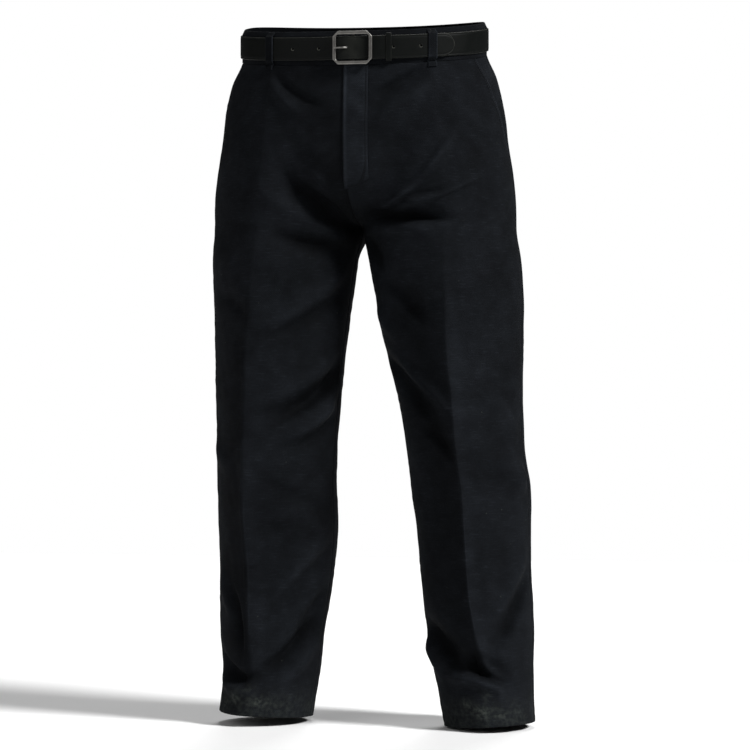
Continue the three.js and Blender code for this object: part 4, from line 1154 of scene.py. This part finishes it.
def make_keeper(material):
    """The keeper: a leather section with soft corners carried round the strap's two layers."""
    half = KEEPER["height"] / 2 - KEEPER["wall"] / 2
    low = KEEPER["back"] + KEEPER["wall"] / 2
    high = low + KEEPER["inside"] + KEEPER["wall"]
    middle, reach = (low + high) / 2, (high - low) / 2
    angle = turns(96)
    path = np.stack([half * power(np.sin(angle), 0.28), middle + reach * power(np.cos(angle), 0.45)], axis=-1)
    turn = turns(16)
    wide = KEEPER["width"] / 2 * power(np.cos(turn), 0.5)
    thick = KEEPER["wall"] / 2 * power(np.sin(turn), 0.7)
    tangent = unit(np.roll(path, -1, axis=0) - np.roll(path, 1, axis=0))
    normal = np.stack([tangent[:, 1], -tangent[:, 0]], axis=-1)
    up = path[:, :1] + normal[:, :1] * thick
    out = path[:, 1:] + normal[:, 1:] * thick
    local = np.stack([np.broadcast_to(wide, up.shape), up, out], axis=-1)
    wear_and_highlight = 0.4 * np.clip(np.abs(local[..., 0]) - 3.2, 0, 1)
    piece = loft("belt_keeper_leather", place(local, KEEPER["at"]), material, closed=True,
                 fields={"wear_and_highlight": wear_and_highlight})
    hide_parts("belt_keeper")


BUCKLE = {"at": 11.3, "width": 59.0, "height": 49.0, "bar": 5.2, "thick": 3.2, "out": 8.7, "chamfer": 8.0,
          "corner": 4.0}


def rounded_outline(corners, radius, steps):
    """A closed outline through corners, each turned along a quadratic curve that starts radius away."""
    corners = np.asarray(corners, float)
    before = unit(np.roll(corners, 1, axis=0) - corners) * radius
    after = unit(np.roll(corners, -1, axis=0) - corners) * radius
    t = np.linspace(0, 1, steps)[None, :, None]
    start, end, middle = corners + before, corners + after, corners
    arc = (1 - t) ** 2 * start[:, None] + 2 * t * (1 - t) * middle[:, None] + t**2 * end[:, None]
    return arc.reshape(-1, 2)


def evenly_round(outline, count):
    """Points an equal distance apart round a closed outline."""
    ring = np.concatenate([outline, outline[:1]])
    at = np.concatenate([[0], np.cumsum(np.linalg.norm(np.diff(ring, axis=0), axis=1))])
    s = np.linspace(0, at[-1], count, endpoint=False)
    return np.stack([np.interp(s, at, ring[:, k]) for k in range(2)], axis=-1)


BUCKLE_STEPS = 240
# The frame's section: share of the way in from the outline, and share of the thickness.
FRAME_SECTION = columns("share depth", (0, 0.2), (0, 0.62), (0.04, 0.8), (0.14, 0.93), (0.3, 1), (0.5, 1), (0.7, 1),
                        (0.84, 0.97), (0.94, 0.86), (1, 0.7), (1, 0.25), (0.94, 0), (0.5, 0), (0.06, 0))
# The prong's path from the bar up through the strap, and its hub's section, as along and out.
PRONG_PATH = [(-0.6, 1.75), (-2.9, 3.1), (-5.1, 5.8), (-8.2, 9), (-10.8, 11.6), (-13.2, 12.9), (-16.3, 13.35),
              (-22, 13.35), (-27.5, 13.35)]
HUB_SECTION = columns("across grow", (1.5, 0), (1.5, 0.75), (1.3, 0.95), (0, 1), (-1.3, 0.95),
                      (-1.5, 0.75), (-1.5, 0), (-1.2, -0.15), (0, -0.2), (1.2, -0.15))
BAR_OUT = 3.9


def make_buckle(material):
    """The buckle: a bevelled section carried round from the chamfered outline to the rounded opening."""
    w, h, c = BUCKLE["width"] / 2, BUCKLE["height"] / 2, BUCKLE["chamfer"]
    eight = [(w, h - c), (w - c, h), (c - w, h), (-w, h - c), (-w, c - h), (c - w, -h), (w - c, -h), (w, c - h)]
    iw, ih = w - BUCKLE["bar"], h - BUCKLE["bar"]
    inner = rounded_outline([(iw, ih), (-iw, ih), (-iw, -ih), (iw, -ih)], BUCKLE["corner"], 12)
    outer = rounded_outline(eight, 1.2, 6)
    inner = evenly_round(inner, BUCKLE_STEPS)
    angle_in = np.unwrap(np.arctan2(inner[:, 1], inner[:, 0]))
    fine = evenly_round(outer, 10 * BUCKLE_STEPS)
    angle_out = np.unwrap(np.arctan2(fine[:, 1], fine[:, 0]))
    full = 2 * np.pi
    spread = np.concatenate([angle_out - full, angle_out, angle_out + full])
    outer = np.stack([np.interp(angle_in, spread, np.tile(fine[:, k], 3)) for k in range(2)], axis=-1)
    flat = outer[:, None] + (inner - outer)[:, None] * FRAME_SECTION["share"][:, None]
    level = np.broadcast_to(BUCKLE["out"] + BUCKLE["thick"] * FRAME_SECTION["depth"], flat.shape[:2])
    local = np.concatenate([flat, level[..., None]], axis=-1)
    frame_piece = loft("buckle_frame_metal", place(local, BUCKLE["at"]), material, closed=True)
    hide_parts("buckle_frame")
    reach = ih + BUCKLE["bar"] / 2
    path = through([(-reach, 9.6), (-reach, 6.2), (3 - reach, BAR_OUT), (0, BAR_OUT), (reach - 3, BAR_OUT),
                    (reach, 6.2), (reach, 9.6)], 1.2)
    turn = turns(16)
    up, out = off_path(path, 0.8 * power(np.sin(turn), 0.7))
    local = np.stack([np.broadcast_to(2.0 * power(np.cos(turn), 0.7), up.shape), up, out], axis=-1)
    bar = loft("buckle_middle_bar", place(local, BUCKLE["at"]), material)
    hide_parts("buckle_frame")


def make_prong(material):
    """The prong: a soft-cornered section carried from its hub, up through the strap, to a blunt end."""
    path = through(PRONG_PATH, 0.6)
    turn = turns(16)
    share = np.linspace(0, 1, len(path))
    end = np.sqrt(np.maximum(1 - np.clip((share - 0.93) / 0.07, 0, 1) ** 2, 0.02))
    size = (1 - 0.22 * share) * end
    along, out = off_path(path, 1.1 * power(np.sin(turn), 0.75) * (0.94 * end)[:, None])
    local = np.stack([along, 1.5 * power(np.cos(turn), 0.75) * size[:, None], out], axis=-1)
    blade = loft("buckle_prong_metal", place(local, BUCKLE["at"]), material)
    angle = turns(32)[:, None]
    long, tall = (start + 0.9 * HUB_SECTION["grow"] for start in (2.45, 1.25))
    local = np.stack(np.broadcast_arrays(np.cos(angle) * long, HUB_SECTION["across"],
                                         BAR_OUT + np.sin(angle) * tall), axis=-1)
    hub = loft("buckle_prong_hub", place(local, BUCKLE["at"]), material, closed=True)
    for piece in (blade, hub):
        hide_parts("buckle_prong")


LOOPS = {"belt_loop_front_left": 126.0, "belt_loop_side_left": 300.0, "belt_loop_back": WAIST / 2,
         "belt_loop_side_right": -300.0, "belt_loop_front_right": -122.0}
LOOP_THICK = 1.5
# A loop's section: across it, and share of its thickness, with a groove inside each edge.
LOOP_SECTION = columns("across face", (-6.5, 0.5), (-6.3, 0.85), (-5.6, 1), (-4.9, 1), (-4.4, 0.86), (-3, 0.98),
                       (0, 1.03), (3, 0.98), (4.4, 0.86), (4.9, 1), (5.6, 1), (6.3, 0.85), (6.5, 0.5))


def panel_place(at, z, lift, sizes):
    """A point of the panels under the waistband, at a distance round the waist."""
    at = np.mod(at, WAIST)
    steps = np.interp(at, RING_AT, np.arange(len(RING_AT)))
    quarter = np.clip((steps // RING_STEPS).astype(int), 0, 3)
    share = steps / RING_STEPS - quarter
    points = 0
    for n, (side, panel) in enumerate((("left", "front"), ("left", "back"), ("right", "back"), ("right", "front"))):
        u = np.clip(1 - share if n in (0, 2) else share, 0.001, 0.999)
        here = cloth_point(side, panel, u, z, lift, sizes)
        points = points + np.where((quarter == n)[..., None], here, 0)
    return points


def make_loop(name, at, sizes, material):
    """A belt loop: a folded strip stitched at the band's top and under its seam, clear of the strap."""
    on_strap = STRAP["on_band"] + (STRAP["over"] if 95 < at < 185 else 0)
    stand = on_strap + STRAP["thick"] / 2 + 0.3
    knots = [(24.8, -2.4), (23.4, -1.2), (21.4, 0.4), (20.2, stand - 1.2), (18.6, stand - 0.1), (12, stand + 0.2),
             (0, stand + 0.25), (-12, stand + 0.2), (-18.6, stand - 0.1), (-20.4, stand - 1.2), (-22.6, 0.7),
             (-24, 0.5), (-26, 0.5), (-29, 0.5), (-31.5, 0.5)]
    line = through([(-z, out) for z, out in knots], 0.9)
    z, out = -line[:, :1], line[:, 1:]
    tangent = unit(np.gradient(np.stack([z[:, 0], out[:, 0]], axis=-1), axis=0))
    across, face = LOOP_SECTION["across"], LOOP_SECTION["face"]
    across = np.concatenate([across, across[::-1][1:-1]])
    face = np.concatenate([face, 0 * face[1:-1]]) * LOOP_THICK
    height = z - tangent[:, 1:] * face
    away = out + np.abs(tangent[:, :1]) * face
    at_point = np.broadcast_to(at + across, height.shape)
    band = waist_point(at_point, away, height)
    below = panel_place(at_point, np.minimum(height, BAND_BOTTOM), away + BAND_PROUD * 0.5, sizes)
    share = smooth((BAND_BOTTOM + 1 - z) / 3)[..., None]
    rings = lerp(band, below, share)
    uv = np.stack([at_point, height], axis=-1)
    # The loops are darker all over, with painted highlights along both edges.
    wear_and_highlight = 0.72 + ridge("loop left highlight", across) + ridge("loop right highlight", across)
    piece = loft(name + "_cloth", rings, material, uv=uv, fields=clean_fields(height, wear_and_highlight))
    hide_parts(name)
    return piece


def line_on_panel(side, panel, u, z, lift, sizes):
    """Points of a line on a panel, with the outward direction at each."""
    return cloth_point(side, panel, u, z, lift, sizes), body_normal(side, panel, u, z)


class TROUSERS_OT_panels(bpy.types.Operator):
    """Cut and fold the four main panels, the pockets' facings and the fly's flap."""

    bl_idname = "trousers.panels"
    bl_label = "Panels"

    def execute(self, context):
        sizes, colours = context.scene.trouser_sizes, context.scene.trouser_colours
        cloth = wool_twill("Wool twill", colours)
        for side in SIDES:
            for panel in PANELS:
                piece = make_panel(side, panel, sizes, cloth)
            facing = make_facing(side, sizes, cloth)
        flap = make_flap(sizes, cloth)
        return {"FINISHED"}


class TROUSERS_OT_waistband(bpy.types.Operator):
    """Make both halves of the waistband and its belt loops."""

    bl_idname = "trousers.waistband"
    bl_label = "Waistband and loops"

    def execute(self, context):
        sizes, colours = context.scene.trouser_sizes, context.scene.trouser_colours
        cloth = wool_twill("Wool twill, folded", colours)
        loops = {name: make_loop(name, at, sizes, cloth) for name, at in LOOPS.items()}
        for side in SIDES:
            band = make_waistband(side, cloth)
            own = [loop for name, loop in loops.items() if name.endswith(side)]
            if side == "left":
                own.append(loops["belt_loop_back"])
        return {"FINISHED"}


class TROUSERS_OT_stitching(bpy.types.Operator):
    """Sew the fly and the pocket mouths."""

    bl_idname = "trousers.stitching"
    bl_label = "Stitching"

    def execute(self, context):
        sizes, colours = context.scene.trouser_sizes, context.scene.trouser_colours
        thread = plain_weave("Polyester thread", colours.thread, 0.0006)
        share = np.linspace(0, 1, 160)
        z = lerp(-27.0, -170.0, share)
        for side in SIDES:
            for name, inset in (("outer", 1.6), ("inner", 6.0)):
                u = pocket_mouth(z) + SEAM_INSET + inset / PANEL_SPAN
                line, outward = line_on_panel(side, "front", u, z, 0.0, sizes)
                stitch_row(f"pocket_stitches_{name}_{side}", line, outward, sizes, thread)
        turn = np.linspace(0, 1, 40)
        down = np.linspace(-27, FLY_SEAM["turns"], 120)
        across = FLY_SEAM["across"] * np.cos(turn * np.pi / 2) ** FLY_SEAM["point"]
        distance = np.concatenate([np.full(120, FLY_SEAM["across"]), across])
        height = np.concatenate([down, FLY_SEAM["turns"] - FLY_SEAM["deep"] * np.sin(turn * np.pi / 2)])
        line = fly_point(distance, height, FLY["lift"] + CLOTH, sizes)
        outward = body_normal("left", "front", front_u(height, distance), height)
        deep = plain_weave("Polyester thread, black", [0.3 * channel for channel in colours.thread], 0.0006)
        stitch_row("fly_stitches", line, outward, sizes, deep)
        return {"FINISHED"}


class TROUSERS_OT_belt(bpy.types.Operator):
    """Make the leather strap, its keeper and the rims of its holes."""

    bl_idname = "trousers.belt"
    bl_label = "Belt"

    def execute(self, context):
        leather = belt_leather("Satin cowhide", context.scene.trouser_colours)
        make_strap(leather)
        make_keeper(leather)
        for number, at in enumerate(HOLES):
            rim = rim_rings(at, HOLE_RADIUS + 0.3, 0.55, hole_height(at) + STRAP["thick"] / 2)
            # The light catches only the lower half of a rim.
            lower = 2.4 * smooth(0.5 - np.sin(turns(RIM_STEPS) + 0.5))
            loft(f"hole_rim_{number}", rim, leather, closed=True,
                 fields={"wear_and_highlight": np.repeat(lower[:, None], rim.shape[1], axis=1)})
        return {"FINISHED"}


class TROUSERS_OT_buckle(bpy.types.Operator):
    """Make the worn metal buckle and its prong."""

    bl_idname = "trousers.buckle"
    bl_label = "Buckle"

    def execute(self, context):
        metal = worn_nickel("Worn nickel plate", context.scene.trouser_colours)
        make_buckle(metal)
        make_prong(metal)
        return {"FINISHED"}


class TROUSERS_OT_zip(bpy.types.Operator):
    """Finish the zip behind the fly."""

    bl_idname = "trousers.zip"
    bl_label = "Zip"

    def execute(self, context):
        tape = plain_weave("Woven zip tape", context.scene.trouser_colours.lining, 0.0008)
        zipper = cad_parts["fly_zip"]
        zipper.data.materials.clear()
        zipper.data.materials.append(tape)
        return {"FINISHED"}


CAMERA_TURN = 12.0
CAMERA_AWAY = 4.5
SENSOR = 36.0
FRAME_WIDTH = 1.125
AIM = (17.25, -497.5)
FLOOR = {"reach": 4.0, "lines": 9, "under": 0.001}
# Each light stands round the object and above it, in degrees, and has a strength and a width in degrees.
LIGHTS = (("key", 68.0, 40.0, 4.4, 14.0), ("fill", -40.0, 30.0, 0.65, 50.0), ("rear", 182.0, 54.0, 1.3, 24.0))


class TROUSERS_OT_stage(bpy.types.Operator):
    """Set the pale floor, the soft lights and the camera at the photograph's angle."""

    bl_idname = "trousers.stage"
    bl_label = "Stage"

    def execute(self, context):
        scene = context.scene
        turn = np.radians(CAMERA_TURN)
        back = np.array([np.sin(turn), -np.cos(turn), 0.0])
        right = np.array([np.cos(turn), np.sin(turn), 0.0])
        aim = (AIM[0] * right + np.array([0.0, 0.0, AIM[1]])) * MM
        camera = bpy.data.objects.new("camera", bpy.data.cameras.new("camera"))
        camera.data.sensor_width = SENSOR
        camera.data.lens = SENSOR * CAMERA_AWAY / FRAME_WIDTH
        camera.location = aim + back * CAMERA_AWAY
        camera.rotation_euler = (np.pi / 2, 0.0, turn)
        scene.collection.objects.link(camera)
        scene.camera = camera

        material, tree, shader = new_material("Painted studio floor", Roughness=0.9)
        place_node = add_node(tree, "ShaderNodeTexCoord").outputs["Object"]
        mottle = add_node(tree, "ShaderNodeTexNoise", {"Vector": place_node, "Scale": 3.0}).outputs["Fac"]
        colour = context.scene.trouser_colours.floor
        tone = add_node(tree, "ShaderNodeMix", {"Factor": mottle, "A": rgba(colour, 0.98), "B": rgba(colour, 1.02)},
                        data_type="RGBA")
        tree.links.new(tone.outputs["Result"], shader.inputs["Base Color"])
        lines = np.linspace(-FLOOR["reach"], FLOOR["reach"], FLOOR["lines"])
        x, y = np.meshgrid(lines, lines, indexing="ij")
        low = CAD_BOX[0][2] - FLOOR["under"]
        points = np.stack([x, y, np.full_like(x, low)], axis=-1).reshape(-1, 3)
        mesh = bpy.data.meshes.new("floor")
        mesh.from_pydata(points.tolist(), [], grid_quads(len(lines), len(lines))[:, ::-1].tolist())
        mesh.materials.append(material)
        floor = bpy.data.objects.new("floor", mesh)
        scene.collection.objects.link(floor)

        world = bpy.data.worlds.new("Studio")
        world.use_nodes = True
        background = world.node_tree.nodes["Background"]
        background.inputs["Color"].default_value = (1.0, 1.0, 1.0, 1.0)
        seen = add_node(world.node_tree, "ShaderNodeLightPath").outputs["Is Camera Ray"]
        strength = add_node(world.node_tree, "ShaderNodeMapRange", {"Value": seen, "To Min": 0.05, "To Max": 1.0})
        world.node_tree.links.new(strength.outputs[0], background.inputs["Strength"])
        scene.world = world
        for name, round_it, above, strength, width in LIGHTS:
            light = bpy.data.lights.new(name, "SUN")
            light.energy, light.angle = strength, np.radians(width)
            lamp = bpy.data.objects.new(name, light)
            lamp.rotation_euler = (np.pi / 2 - np.radians(above), 0.0, np.radians(round_it))
            scene.collection.objects.link(lamp)
        scene.view_settings.view_transform = "Standard"
        return {"FINISHED"}


class TROUSERS_PT_build(bpy.types.Panel):
    """Lists the steps of the build in the 3D view's sidebar."""

    bl_label = "Trousers"
    bl_idname = "TROUSERS_PT_build"
    bl_space_type = "VIEW_3D"
    bl_region_type = "UI"
    bl_category = "Trousers"

    def draw(self, context):
        for operator in OPERATORS:
            self.layout.operator(operator.bl_idname)
        for group in (context.scene.trouser_sizes, context.scene.trouser_colours):
            for key in group.__annotations__:
                self.layout.prop(group, key)


OPERATORS = (TROUSERS_OT_panels, TROUSERS_OT_waistband, TROUSERS_OT_stitching, TROUSERS_OT_belt,
             TROUSERS_OT_buckle, TROUSERS_OT_zip, TROUSERS_OT_stage)
CLASSES = (TrouserSizes, TrouserColours, *OPERATORS, TROUSERS_PT_build)


def register():
    for cls in CLASSES:
        bpy.utils.register_class(cls)
    bpy.types.Scene.trouser_sizes = bpy.props.PointerProperty(type=TrouserSizes)
    bpy.types.Scene.trouser_colours = bpy.props.PointerProperty(type=TrouserColours)


def unregister():
    del bpy.types.Scene.trouser_sizes
    del bpy.types.Scene.trouser_colours
    for cls in reversed(CLASSES):
        bpy.utils.unregister_class(cls)


def main():
    register()
    bpy.ops.trousers.panels()
    bpy.ops.trousers.waistband()
    bpy.ops.trousers.stitching()
    bpy.ops.trousers.belt()
    bpy.ops.trousers.buckle()
    bpy.ops.trousers.zip()
    bpy.ops.trousers.stage()


if __name__ == "__main__":
    main()
